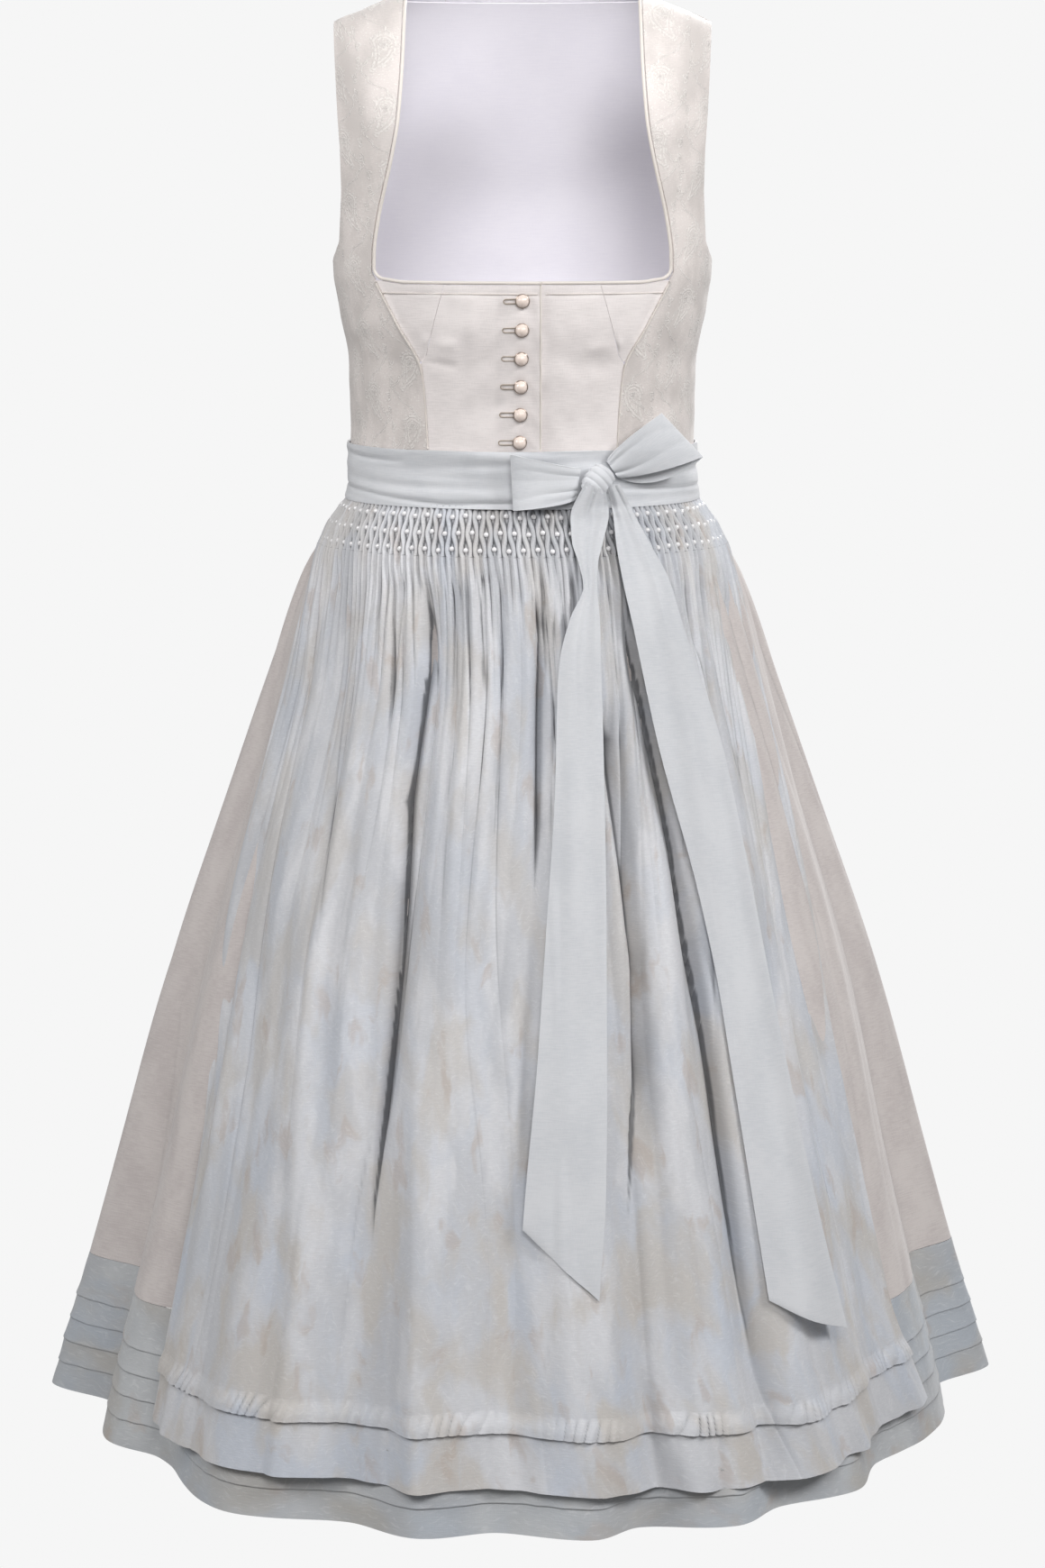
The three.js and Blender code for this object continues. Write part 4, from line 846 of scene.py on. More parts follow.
# Drag folds of the bodice: depth, how far they fade, and their line.
DRAGS = [
    (-0.9, 4, [(-70, -252), (-52, -254)]), (0.8, 3, [(-72, -266), (-50, -270)]),
    (-0.8, 4, [(70, -254), (50, -257)]), (0.6, 6, [(-40, -300), (-14, -296)]),
    (0.7, 8, [(20, -262), (60, -270)]), (0.9, 5, [(-103, -215), (-84, -252)]),
    (0.8, 5, [(103, -215), (86, -248)]), (1.2, 7, [(-118, -190), (-112, -150), (-114, -110)]),
    (1.2, 7, [(119, -190), (113, -150), (112, -110)]), (0.9, 6, [(-100, -325), (-92, -300), (-90, -270)]),
    (0.9, 6, [(98, -328), (94, -300)]), (0.8, 8, [(-118, -320), (-112, -270)]),
    (0.8, 8, [(116, -320), (113, -260)]),
]


def princess_edge(level):
    return column(SIDE_FRONT_EDGE, "x", level)


def cup_edge(level):
    return np.where(level <= CUP_POINT, princess_edge(level), straight(CUP_SEAM, "x", level))


def armhole(level):
    return straight(ARMHOLE, "at", level)


def neck_level(x):
    return lerp(NECK_FRONT, CUP_CORNER, smooth((np.abs(x) - CORNER_START) / CORNER_SPAN))


def back_neck_level(x):
    level = np.zeros(np.shape(x))
    for _ in range(SETTLE_STEPS):
        level = BACK_NECK - ridge(x) * lift(level)
    return np.where(np.abs(x) < NECK_SIDE, np.minimum(level, 0), 0)


def back_levels(crown):
    """The levels of a back panel, drawn down to the back neckline where it crosses the shoulder."""
    return [level if level < BACK_BLEND else lerp(BACK_BLEND, crown, (level - BACK_BLEND) / -BACK_BLEND)
            for level in SIDE_LEVELS]


def overlap(x):
    return (WALL + SEAM) * smooth((x - OVERLAP_START) / OVERLAP_RAMP)


def pull(z):
    """1 at the height of each button and -1 midway between two."""
    return np.cos(2 * math.pi * (z - BUTTON_TOP) / BUTTON_PITCH)


def placket(point):
    """The overlapping front: it steps up, pulls in at each button and is puffed along its edge."""
    x, z = point[..., 0], point[..., 2]
    puffed = PUFF["high"] * np.exp(-((x - PLACKET + PUFF["back"]) / PUFF["wide"]) ** 2)
    dented = DENT["deep"] * np.exp(-((x - DENT["at"]) / DENT["wide"]) ** 2)
    dented = dented * smooth((BUTTON_TOP + DENT["above"] - z) / DENT["ramp"])
    return overlap(x) + puffed * (1 - PUFF["pull"] * pull(z)) - dented * pull(z)


def to_line(x, z, line):
    """Distance of points from a line of points, and the share of its length they lie at."""
    best, share = np.full(np.shape(x), 1e9), np.zeros(np.shape(x))
    for i, (a, b) in enumerate(zip(line[:-1], line[1:])):
        along = np.array(b, float) - a
        t = np.clip(((x - a[0]) * along[0] + (z - a[1]) * along[1]) / (along @ along), 0, 1)
        distance = np.hypot(x - a[0] - t * along[0], z - a[1] - t * along[1])
        share = np.where(distance < best, (i + t) / (len(line) - 1), share)
        best = np.minimum(best, distance)
    return best, share


def bodice_relief(point, seed):
    x, y, z = point[..., 0], point[..., 1], point[..., 2]
    relief = wave("bodice", x, z, seed) + wave("bodice_small", x, z, seed)
    for depth, fade, line in DRAGS:
        distance, _ = to_line(x, z, line)
        relief = relief - depth * np.exp(-(distance / fade) ** 2) * (y < 0)
    return relief


def facing_groove(point):
    """The line sewn through the front below the neckline."""
    away = np.abs(point[..., 2] - (NECK_FRONT - FACING["below"]))
    front = np.abs(point[..., 0]) < FACING["end"]
    return FACING["deep"] * np.exp(-(away / FACING["wide"]) ** 2) * front


def panel(name, look, node, levels, degree_at_share, columns, seed=None, lap=None):
    """A bodice panel from its levels at each share of its width, and its angle at a level and share."""
    lining = look == "lining"
    u = np.linspace(0, 1, columns + 1)
    count = len(levels(0.0))
    fine = np.linspace(0, count - 1, (count - 1) * LEVEL_STEPS + 1)
    level = np.stack([np.interp(fine, np.arange(count), levels(t)) for t in u], 1)[::-1]
    across = np.broadcast_to(u, level.shape)
    degree = degree_at_share(level, across)
    point = body_point(degree, level)
    normal = body_normal(degree, level)
    out = np.full(level.shape, -WALL - LINING_GAP if lining else 0.0)
    if lap:
        out = out + lap(point)
    if not lining:
        edge = np.minimum(np.minimum(across, 1 - across) * RELIEF_FADE, 1)
        out = out + bodice_relief(point, seed) * edge
    if look == "silk":
        out = out - facing_groove(point)
    place = np.stack([np.radians(degree) * PLACE_RADIUS, -point[..., 2]], -1)
    point = point + normal * out[..., None]
    if degree[0, -1] < degree[0, 0]:
        point, place, out = point[:, ::-1], place[:, ::-1], out[:, ::-1]
    looks = [LOOKS[look]] if lining else [LOOKS[look], LOOKS["lining"]]
    thickness = THICK["lining" if lining else "bodice"]
    seat(cloth(name, point, place, thickness, looks, out), look, node)


def between(side, inner, outer):
    """The angle over a panel of one side, from its inner and outer edges on the viewer's right."""
    def angle(level, u):
        if side < 0:
            return lerp(-outer(level), -inner(level), u)
        return lerp(inner(level), outer(level), u)

    return angle


def same_levels(levels):
    def over(u):
        return levels

    return over


def side_seam(level):
    return np.where(level < UNDERARM + 1, SIDE_SEAM, 0)


def front_outer(level):
    return degree_at(cup_edge(level) - HALF_SEAM, level)


def cup_inner(level):
    return degree_at(cup_edge(level) + HALF_SEAM, level)


def cup_outer(level):
    return degree_at(princess_edge(level) - HALF_SEAM, level)


def side_front_inner(level):
    return degree_at(princess_edge(level) + np.where(level <= CUP_CORNER, HALF_SEAM, 0), level)


def side_front_outer(level):
    return armhole(level) - side_seam(level)


def side_back_inner(level):
    return degree_at(BACK_SEAM + HALF_SEAM + 0 * level, level, True)


def side_back_outer(level):
    return 180 - armhole(level) + side_seam(level)


def centre_front(side, word, columns, seed, lap=None):
    def inner(level):
        return degree_at(CENTRE_EDGES[side] + 0 * level, level)

    panel("silk_front_" + word, "silk", "centre_front_" + word, same_levels(FRONT_LEVELS),
          between(side, inner, front_outer), columns, seed, lap)


def cup(side, word):
    def levels(u):
        share = u if side < 0 else 1 - u
        top = neck_level(lerp(princess_edge(CUP_CORNER), cup_edge(NECK_FRONT), share))
        return [CUP_POINT + CUP_TIP] + CUP_LEVELS + [float(top)]

    panel("silk_cup_" + word, "silk", "cup_" + word, levels, between(side, cup_inner, cup_outer), 24,
          13 + side)


def side_back(side, word):
    def levels(u):
        share = 1 - u if side < 0 else u
        crown = body_point(lerp(side_back_inner(0.0), side_back_outer(0.0), share), 0.0)[..., 0]
        return back_levels(float(back_neck_level(crown)))

    panel("jacquard_back_" + word, "jacquard", "side_back_" + word, levels,
          between(side, side_back_inner, side_back_outer), 30, 30 + side)


def centre_back():
    def levels(u):
        return back_levels(float(back_neck_level(lerp(-BACK_SEAM, BACK_SEAM, u))))

    def angle(level, u):
        first = degree_at(-BACK_SEAM + HALF_SEAM + 0 * level, level, True)
        last = degree_at(BACK_SEAM - HALF_SEAM + 0 * level, level, True) - 360
        return lerp(first, last, u)

    panel("jacquard_centre_back", "jacquard", "centre_back", levels, angle, 40, 35)


LINING_SIDE = SIDE_COLUMNS / (2 * SIDE_COLUMNS + CENTRE_COLUMNS)


def lining_degree(level, u):
    edge = 180 - armhole(level) + LINING_TRIM
    seam = degree_at(BACK_SEAM + 0 * level, level, True)
    first = -lerp(edge, seam, u / LINING_SIDE)
    middle = lerp(-seam, seam - 360, (u - LINING_SIDE) / (1 - 2 * LINING_SIDE))
    last = lerp(seam, edge, (u - 1 + LINING_SIDE) / LINING_SIDE) - 360
    return np.where(u <= LINING_SIDE, first, np.where(u < 1 - LINING_SIDE, middle, last))


def lining_levels(u):
    crown = body_point(lining_degree(0.0, u), 0.0)[..., 0]
    return back_levels(float(back_neck_level(crown)) - LINING_DROP)[LINING_START:]


SIDES = [(-1, "left"), (1, "right")]
centre_front(-1, "left", 44, 11, placket)
centre_front(1, "right", 40, 12)
for side, word in SIDES:
    cup(side, word)
    panel("jacquard_front_" + word, "jacquard", "side_front_" + word, same_levels(SIDE_FRONT_LEVELS),
          between(side, side_front_inner, side_front_outer), 36, 20 + side)
    side_back(side, word)
centre_back()
panel("back_lining_cloth", "lining", "back_lining", lining_levels, lining_degree, 64)


# ------------------------------------------------------------ bodice, trimming
def beside(x, level, out):
    """Points over the bodice's surface, a distance out from it."""
    degree = degree_at(x, level)
    return body_point(degree, level) + body_normal(degree, level) * np.reshape(out, (-1, 1))


PIPING_REACH = PIPING + SEAM
CORD_STEPS = 60
EDGE_CORD = {"back": 0.9, "rise": 0.25, "radius": 0.75, "steps": 70}
STITCH = {"radius": 0.32, "rise": 0.15, "end": 104, "clear": 3}
SEAM_CORD = {"below": 0.55, "above": 0.85, "ramp": 8, "sunk": 0.1}


def cord(name, tubes, *nodes):
    return seat(joined(name, tubes, LOOKS["piping"]), "piping", *nodes)


def neckline_piping(side, end_x):
    top = CUP_CORNER + CORNER_ROUND
    level = np.linspace(-4, top, CORD_STEPS)
    path = [beside(side * (princess_edge(level) - PIPING_REACH), level, -WALL / 2)]
    start = princess_edge(top) - PIPING_REACH - CORNER_ROUND
    low = neck_level(start) + PIPING_REACH
    turn = np.radians(np.linspace(9, 90, 10))
    round_x = side * (start + CORNER_ROUND * np.cos(turn))
    path.append(beside(round_x, lerp(top, low, np.sin(turn)), -WALL / 2))
    x = np.linspace(side * start, end_x, 44)[1:]
    out = (overlap(x) if side < 0 else 0 * x) - WALL / 2
    path.append(beside(x, neck_level(x) + PIPING_REACH, out))
    return tube(np.concatenate(path), PIPING)


def placket_edge():
    """The cord along the placket's edge, puffed between the buttons."""
    level = np.linspace(BAND_TOP + 1, neck_level(PLACKET) + 1, EDGE_CORD["steps"])
    out = overlap(PLACKET) + EDGE_CORD["rise"] - EDGE_CORD["rise"] * pull(level)
    path = beside(0 * level + PLACKET - EDGE_CORD["back"], level, out)
    cord("placket_edge", [tube(path, EDGE_CORD["radius"], 8)])


def facing_stitches():
    lines, end, clear = [], STITCH["end"], STITCH["clear"]
    for first, last in ((-end, PLACKET - clear), (PLACKET + clear, end)):
        x = np.linspace(first, last, 40)
        out = overlap(x) * (last < PLACKET) + STITCH["rise"]
        path = beside(x, NECK_FRONT - FACING["below"] + 0 * x, out)
        lines.append(tube(path, STITCH["radius"], 6))
    cord("facing_stitches", lines)


def seam_piping(side):
    level = np.linspace(BAND_TOP + 1, CUP_CORNER - 1, CORD_STEPS)
    thicker = smooth((level - CUP_POINT) / SEAM_CORD["ramp"] + 1)
    radius = lerp(SEAM_CORD["below"], SEAM_CORD["above"], thicker)
    return tube(beside(side * princess_edge(level), level, radius - SEAM_CORD["sunk"]), radius, 8)


placket_edge()
facing_stitches()
for side, word in SIDES:
    end_x = PLACKET if side < 0 else PLACKET - 4
    cord("neck_piping_" + word, [neckline_piping(side, end_x)], "neckline_piping_" + word)
    cord("seam_piping_" + word, [seam_piping(side)], "princess_piping_" + word)

# A button's outline from its back to its crown: radius and height, as shares of its radius. The first
# rings are its metal rim.
BUTTON_PROFILE = [(0.6, 0), (0.98, 0.2), (1, 0.3), (0.97, 0.4), (0.86, 0.44), (0.8, 0.46), (0.79, 0.62),
                  (0.72, 0.82), (0.58, 1.0), (0.38, 1.12), (0.18, 1.18)]
BUTTON_CROWN = 1.2
BUTTON_SIDES = 32
RIM_RINGS = 4
# The button loops: they start and bend beside the button's middle, and end round, each a little longer.
LOOP_CORD = {"half": 1.6, "end": -12, "longer": 0.35, "from": -3, "bend": -7, "radius": 0.42,
             "rise": 0.45, "tilt": 0.04}


def button_frame(i):
    level = BUTTON_TOP - i * BUTTON_PITCH
    x = BUTTON_DRIFT * i
    centre = beside(np.array([x]), level, overlap(PLACKET) + SEAM)[0]
    normal = body_normal(degree_at(x, level), level)
    right = np.cross((0, 0, 1), -normal)
    right /= -np.linalg.norm(right)
    return centre, normal, right, np.cross(normal, right)


def pearl_button(i):
    centre, normal, right, up = button_frame(i)
    turn = full_turn(BUTTON_SIDES)
    circle = np.cos(turn)[:, None] * right + np.sin(turn)[:, None] * up
    rings = np.stack([centre + circle * r * BUTTON_RADIUS + normal * h * BUTTON_RADIUS
                      for r, h in BUTTON_PROFILE])
    points = np.concatenate([rings.reshape(-1, 3), [centre + normal * BUTTON_CROWN * BUTTON_RADIUS]])
    faces = grid_faces(len(rings), BUTTON_SIDES, closed=True)[:, ::-1].tolist()
    last = (len(rings) - 1) * BUTTON_SIDES
    faces += [[last + k, last + (k + 1) % BUTTON_SIDES, len(points) - 1] for k in range(BUTTON_SIDES)]
    faces.append(list(range(BUTTON_SIDES))[::-1])
    piece = joined(f"pearl_button_{i + 1}", [(points, faces)], LOOKS["pearl"])
    piece.data.materials.append(LOOKS["rim"])
    for polygon in piece.data.polygons[:RIM_RINGS * BUTTON_SIDES]:
        polygon.material_index = 1
    seat(piece, "pearl", f"button_{i + 1}")


def button_loop(i):
    """A narrow loop of cord that runs out beside a button."""
    x = button_frame(i)[0][0]
    half, first, bend = LOOP_CORD["half"], LOOP_CORD["from"], LOOP_CORD["bend"]
    end = LOOP_CORD["end"] - LOOP_CORD["longer"] * i
    turn = np.linspace(math.pi / 2, 3 * math.pi / 2, 9)
    flat = [(first, half), (bend, half)]
    flat += [(end + half * math.cos(a), half * math.sin(a)) for a in turn]
    flat += [(bend, -half), (first, -half)]
    path = [beside(np.array([x + a]), BUTTON_TOP - i * BUTTON_PITCH + b + LOOP_CORD["tilt"] * a,
                   overlap(x + a) + LOOP_CORD["rise"])[0] for a, b in flat]
    return tube(path, LOOP_CORD["radius"], 7)


for i in range(BUTTON_COUNT):
    pearl_button(i)
seat(joined("button_loops", [button_loop(i) for i in range(BUTTON_COUNT)], LOOKS["loop"]), "piping")


# ------------------------------------------------------------ skirt
SKIRT_FLAT = 2400       # width of the skirt's cloth before it is gathered
SKIRT_COLUMNS = 721
GATHERS_CLEAR = 40      # the gathers grow from nothing over this height, under the band
COVERED = {"to": 62, "ramp": 14, "calm": 0.8, "in": 0.6}
HIDDEN = {"deep": 12, "top": -400, "top_ramp": 30, "low": -962, "low_ramp": 40}
BELLY = {"out": 6, "at": -715, "reach": 110}


def skirt_gathers(degree, z):
    """Gathers under the waistband that fade down the skirt."""
    down = np.maximum(WAIST - z, 0)
    total = 0.0
    for count, depth, fade, seed in SKIRT_GATHERS:
        place = degree / 360 * count + wave("skirt_gathers", degree, down, seed)
        total = total + depth * (np.abs(np.sin(math.pi * place)) ** 0.7 - 0.5) * np.exp(-down / fade)
    clear = np.clip((APRON_CLEAR["start"] - z) / GATHERS_CLEAR, 0, 1)
    return total * clear + wave("skirt", degree, z) * clear


def skirt_cloth(name, look, node, heights, relief, slip=None):
    degree, z = np.meshgrid(np.linspace(-180, 180, SKIRT_COLUMNS), heights)
    form = relief(degree, z)
    point = ring(degree, z, skirt_swell(degree, z) + form)
    if slip:
        point[..., 2] += slip(degree, z)
    place = np.stack([(degree + 180) / 360 * SKIRT_FLAT, -z], -1)
    seat(cloth(name, point, place, THICK["skirt"], [LOOKS[look]], form), look, node)


def skirt_relief(degree, z):
    """Fine form of the skirt's cloth: it keeps inside the apron, and swells a little beside it."""
    covered = smooth((COVERED["to"] - np.abs(degree)) / COVERED["ramp"])
    hidden = (covered * smooth((HIDDEN["top"] - z) / HIDDEN["top_ramp"])
              * smooth((z - HIDDEN["low"]) / HIDDEN["low_ramp"]))
    belly = BELLY["out"] * np.exp(-((z - BELLY["at"]) / BELLY["reach"]) ** 2) * (1 - covered)
    calm = skirt_gathers(degree, z) * (1 - COVERED["calm"] * covered)
    return calm - COVERED["in"] * covered - HIDDEN["deep"] * hidden + belly


heights = np.concatenate([np.linspace(-352.3, -480, 26), np.linspace(-486, -965.7, 40)])
skirt_cloth("skirt_cloth", "skirt", "skirt", heights, skirt_relief)

# Rows of points at a tuck of the hem, from above it to under its edge, and below the last one.
TUCK_ROWS = [7, 4, 2, 0.8, 0, -0.35, -1.2]
HEM_ROWS = [-1057, -1062, -1067, -1071.2, HEM]
TUCK_STEP = 0.95
TUCK_FADE = 6.5
HEM_CALM = 0.6          # the hem band's share of the skirt's fine form


def hem_tucks(degree, z):
    """Each tuck stands out over the cloth below it, and drops back at its edge."""
    total = 0.0
    for at in HEM_TUCKS:
        above = z - at
        total = total + np.where(above >= 0, TUCK_STEP * np.exp(-above / TUCK_FADE), 0)
    return total + wave("hem", degree, z) + skirt_relief(degree, z) * HEM_CALM


def tuck_wobble(degree, z):
    """How far the tucks' edges wander up and down."""
    inside = np.clip(np.minimum(HEM_BAND_TOP - z, z - HEM) / 12, 0, 1)
    return (wave("hem_edge", degree, z) + wave("hem_stitch", degree, z)) * inside


rows = [HEM_BAND_TOP, -974, -982, -990] + [at + row for at in HEM_TUCKS for row in TUCK_ROWS] + HEM_ROWS
skirt_cloth("hem_band_cloth", "hem_band", "skirt_hem_band", sorted(set(rows), reverse=True), hem_tucks,
            tuck_wobble)


# ------------------------------------------------------------ apron
APRON_FLAT = 1100       # width of the apron's cloth before it is gathered
PLEATS = 2 * SMOCK_CELLS
PLEAT_COLUMNS = 8
SMOCK_DEPTH = 3.3
SMOCK_LEAN = 0.22
SMOCK_WIDE = 0.4        # half width of a pleat, as a share of its spacing
SMOCK_ROUND = 1.9
SMOCK_FADE = 30
SWAY_RAMP = 6
UNDER_BAND = {"ramp": 7, "flatter": 0.45, "sunk": 2.1}
GATHER_LIFE = (0.35, 1.3)   # the shortest of a row's gathers and their spread, as shares of its fade
GATHER_GROW = 30
PEARL_RADIUS = 1.95
PEARL_SEAT = 1.0        # height of a pearl's middle over the pleats' foot
PEARL_JUMP = 0.7
PEARL_MARGIN = 0.004
SHADOW_GAIN = {"smocking": 2.3, "panel": 1.05}
SPREAD = 1000           # turns a share of the apron's width into a length for its unevenness
SOFT_GROW = 260
CREASE_ENDS = {"low": 0.35, "top": 0.12}
PUCKERS = 92
TUCK_OUT = 2.2
PUCKER = {"deep": 2.2, "slant": 0.8, "round": 0.8, "mean": 0.45, "least": 0.12, "most": 1.2}


def smock_sway(z):
    """How far the pleats lean to each other: 1 at the first and third rows of pearls, -1 at the second."""
    between_rows = (SMOCK_ROWS[0] - z) / (SMOCK_ROWS[0] - SMOCK_ROWS[1])
    sway = np.cos(math.pi * between_rows)
    fade_top = smooth((SMOCK_TOP + 1 - z) / SWAY_RAMP + 0.45)
    fade_low = smooth((z - SMOCK_BOTTOM + 5) / SWAY_RAMP)
    return sway * fade_top * np.where(z < SMOCK_ROWS[2], fade_low, 1)


def smocking(u, z):
    """Honeycomb: fine pleats that sway from side to side and leave an eye round each pearl."""
    best = np.zeros(np.broadcast(u, z).shape)
    first = np.floor(u * PLEATS)
    for step in (-1, 0, 1):
        k = first + step
        lean = np.where(k % 2 == 0, 1, -1) * SMOCK_LEAN * smock_sway(z)
        distance = np.abs(u * PLEATS - (k + 0.5 + lean)) / SMOCK_WIDE
        best = np.maximum(best, np.maximum(0, 1 - distance ** SMOCK_ROUND))
    under = smooth((z - SMOCK_ROWS[0] + 1) / UNDER_BAND["ramp"])
    return best * SMOCK_DEPTH * (1 - UNDER_BAND["flatter"] * under) - UNDER_BAND["sunk"] * under


def gathers(u, z):
    """Narrow grooves of many lengths between broad pleats, under the smocking's fine ones."""
    down = np.maximum(PANEL_TOP - z, 0)
    total = smocking(u, PANEL_TOP) * np.exp(-(down / SMOCK_FADE) ** 1.2)
    for count, depth, wide, fade, seed in GATHERS:
        rng = np.random.default_rng(seed)
        lives = fade * (GATHER_LIFE[0] + GATHER_LIFE[1] * rng.random(count + 2))
        place = u * count + wave("gathers", u * SPREAD, down, seed)
        groove = np.round(place)
        life = lives[groove.astype(int) % len(lives)]
        cut = np.exp(-np.abs(place - groove) / wide)
        total = total - depth * cut * np.exp(-(down / life) ** 2) * smooth(down / GATHER_GROW)
    return total


def creases(x, z):
    total = 0.0
    for depth, left, right, points in CREASES:
        line = np.array(points[::-1], float)
        offset = x - np.interp(z, line[:, 1], line[:, 0])
        share = np.clip((z - line[0, 1]) / (line[-1, 1] - line[0, 1]), 0, 1)
        fade = smooth(share / CREASE_ENDS["low"]) * smooth((1 - share) / CREASE_ENDS["top"])
        fall = np.exp(-np.abs(offset) / np.where(offset < 0, left, right))
        total = total - CREASE_GAIN * depth * fade * fall
    return total


def apron_relief(u, z):
    """All of the fine form of the apron's cloth, in millimetres out from its large folds."""
    degree = apron_degree(u, z)
    x = ring(degree, z, apron_out(degree, z))[..., 0]
    below = PANEL_TOP - z
    soft = wave("apron", u * SPREAD, z) * np.clip(below / SOFT_GROW, 0, 1)
    panel_form = gathers(u, z) + creases(x, z) * np.clip(below / 14, 0, 1) + soft
    return np.where(z > PANEL_TOP, smocking(u, z), panel_form)


def apron_cloth(name, node, heights, columns, relief):
    u, z = np.meshgrid(np.linspace(0, 1, columns + 1), heights)
    form = relief(u, z)
    place = np.stack([u * APRON_FLAT, -z], -1)
    shadow = form * np.where(z > PANEL_TOP, SHADOW_GAIN["smocking"], SHADOW_GAIN["panel"])
    piece = cloth(name, apron_point(u, z, form), place, THICK["apron"], [LOOKS["apron"]], shadow)
    seat(piece, "apron", node)


def smocking_pearls():
    pearls = []
    for row, z in enumerate(SMOCK_ROWS):
        for k in range(SMOCK_CELLS + 1):
            u = (2 * k + (row % 2)) / PLEATS
            if not PEARL_MARGIN < u < 1 - PEARL_MARGIN:
                continue
            level = z + PEARL_JUMP * math.sin(2.3 * k + row)
            spot = apron_point(np.array([u]), np.array([level]), PEARL_SEAT)[0]
            points, faces = ball(PEARL_RADIUS)
            pearls.append((points + spot, faces))
    seat(joined("smocking_pearls", pearls, LOOKS["small_pearl"]), "pearl")


def tuck_relief(u, z):
    """The tuck leaves the apron's surface and stands out at its lower edge, puckered on the slant."""
    share = (TUCK_TOP - z) / (TUCK_TOP - TUCK_BOTTOM)
    slant = u * PUCKERS + share * PUCKER["slant"] + wave("pucker_slant", u * SPREAD, z)
    strength = PUCKER["mean"] + wave("pucker_strength", u * SPREAD, z)
    pucker = (np.abs(np.sin(math.pi * slant)) ** PUCKER["round"] - 0.5) * np.clip(share * 3, 0, 1)
    pucker = PUCKER["deep"] * pucker * np.clip(strength, PUCKER["least"], PUCKER["most"])
    return apron_relief(u, z) + 0.1 + TUCK_OUT * smooth(share * 1.3) + pucker


def flounce_relief(u, z):
    return apron_relief(u, z) + wave("flounce", u * SPREAD, z) - 0.5


apron_cloth("smocked_cloth", "apron_smocking", np.linspace(SMOCK_TOP + 3, PANEL_TOP, 40),
            PLEATS * PLEAT_COLUMNS, apron_relief)
heights = np.concatenate([np.linspace(PANEL_TOP, -480, 20), np.linspace(-489, PANEL_BOTTOM - 3, 45)])
apron_cloth("apron_cloth", "apron_panel", heights, PLEATS * PLEAT_COLUMNS, apron_relief)
smocking_pearls()
apron_cloth("tuck_cloth", "apron_tuck", np.linspace(TUCK_TOP, TUCK_BOTTOM, 14), PUCKERS * PLEAT_COLUMNS,
            tuck_relief)
apron_cloth("flounce_cloth", "apron_flounce", np.linspace(FLOUNCE_TOP, APRON_HEM, 16), 588,
            flounce_relief)


# ------------------------------------------------------------ waistband
# Folds of the band: depth, half width, and their line over degrees and height.
BAND_FOLDS = [
    (1.5, 1.6, [(-100, -362), (-60, -365), (-25, -371), (0, -369), (20, -366)]),
    (1.1, 1.8, [(-85, -337), (-60, -340), (-40, -341)]),
    (0.8, 3.5, [(-70, -347), (-30, -345), (0, -342), (30, -339)]),
    (0.7, 3, [(-80, -355), (-40, -358), (-5, -360)]),
    (1.3, 1.6, [(30, -360), (55, -362), (95, -364)]),
    (0.8, 3, [(35, -349), (60, -351), (100, -350)]),
    (1.1, 2.2, [(100, -345), (140, -352), (178, -356)]),
    (1.1, 2.2, [(-178, -356), (-140, -349), (-104, -347)]),
    (0.9, 2, [(110, -364), (150, -366), (179, -363)]),
    (0.9, 2, [(-179, -342), (-150, -339), (-110, -338)]),
]
FOLD_GAIN = 1.5
DEGREE = 2.2            # millimetres round the waist to a degree


def band_relief(degree, z):
    along = degree * DEGREE
    total = 0.3 + wave("band", degree, z) + wave("band_small", along - z * 2, z)
    for depth, half, line in BAND_FOLDS:
        distance, share = to_line(along, z, [(a * DEGREE, b) for a, b in line])
        fall = np.exp(-(distance / half) ** 2)
        total = total - FOLD_GAIN * depth * fall * np.sin(math.pi * share) ** 0.5
    rim = np.minimum(BAND_TOP - z, z - BAND_BOTTOM)
    return total * smooth(rim / 3 + 0.35)


def waistband():
    degree, z = np.meshgrid(np.linspace(-180, 180, 481), np.linspace(BAND_TOP, BAND_BOTTOM, 30))
    form = band_relief(degree, z)
    point = band_ring(degree, z, BAND_WALL + form)
    place = np.stack([degree * DEGREE, -z], -1)
    piece = cloth("waistband_cloth", point, place, THICK["band"], [LOOKS["band"]], form)
    seat(piece, "band", "apron_waistband")


waistband()


# ------------------------------------------------------------ bow
APRON_CLEARANCE = 1.4   # how far a tail stays off the apron's cloth
TAIL_COLUMNS = 33
TAIL_ROWS = 241
TAIL_SOFTEN = 14
TAIL_WIDTH = 60
FAN = {"open": 2.6, "rest": 0.6, "fade": 70}
LOOP_PLEATS = {"count": 3, "knot": 1.9, "end": 0.35, "fade": 0.28, "behind": 0.3}
SAG_RAMP = 0.12


def apron_face(x, z):
    """How far forward the finished apron reaches at a point."""
    def too_low(u):
        return apron_point(u, z)[..., 0] < x

    u = search(np.zeros(np.shape(x)), np.ones(np.shape(x)), too_low, FACE_HALVINGS)
    return -apron_point(u, z, apron_relief(u, z))[..., 1]


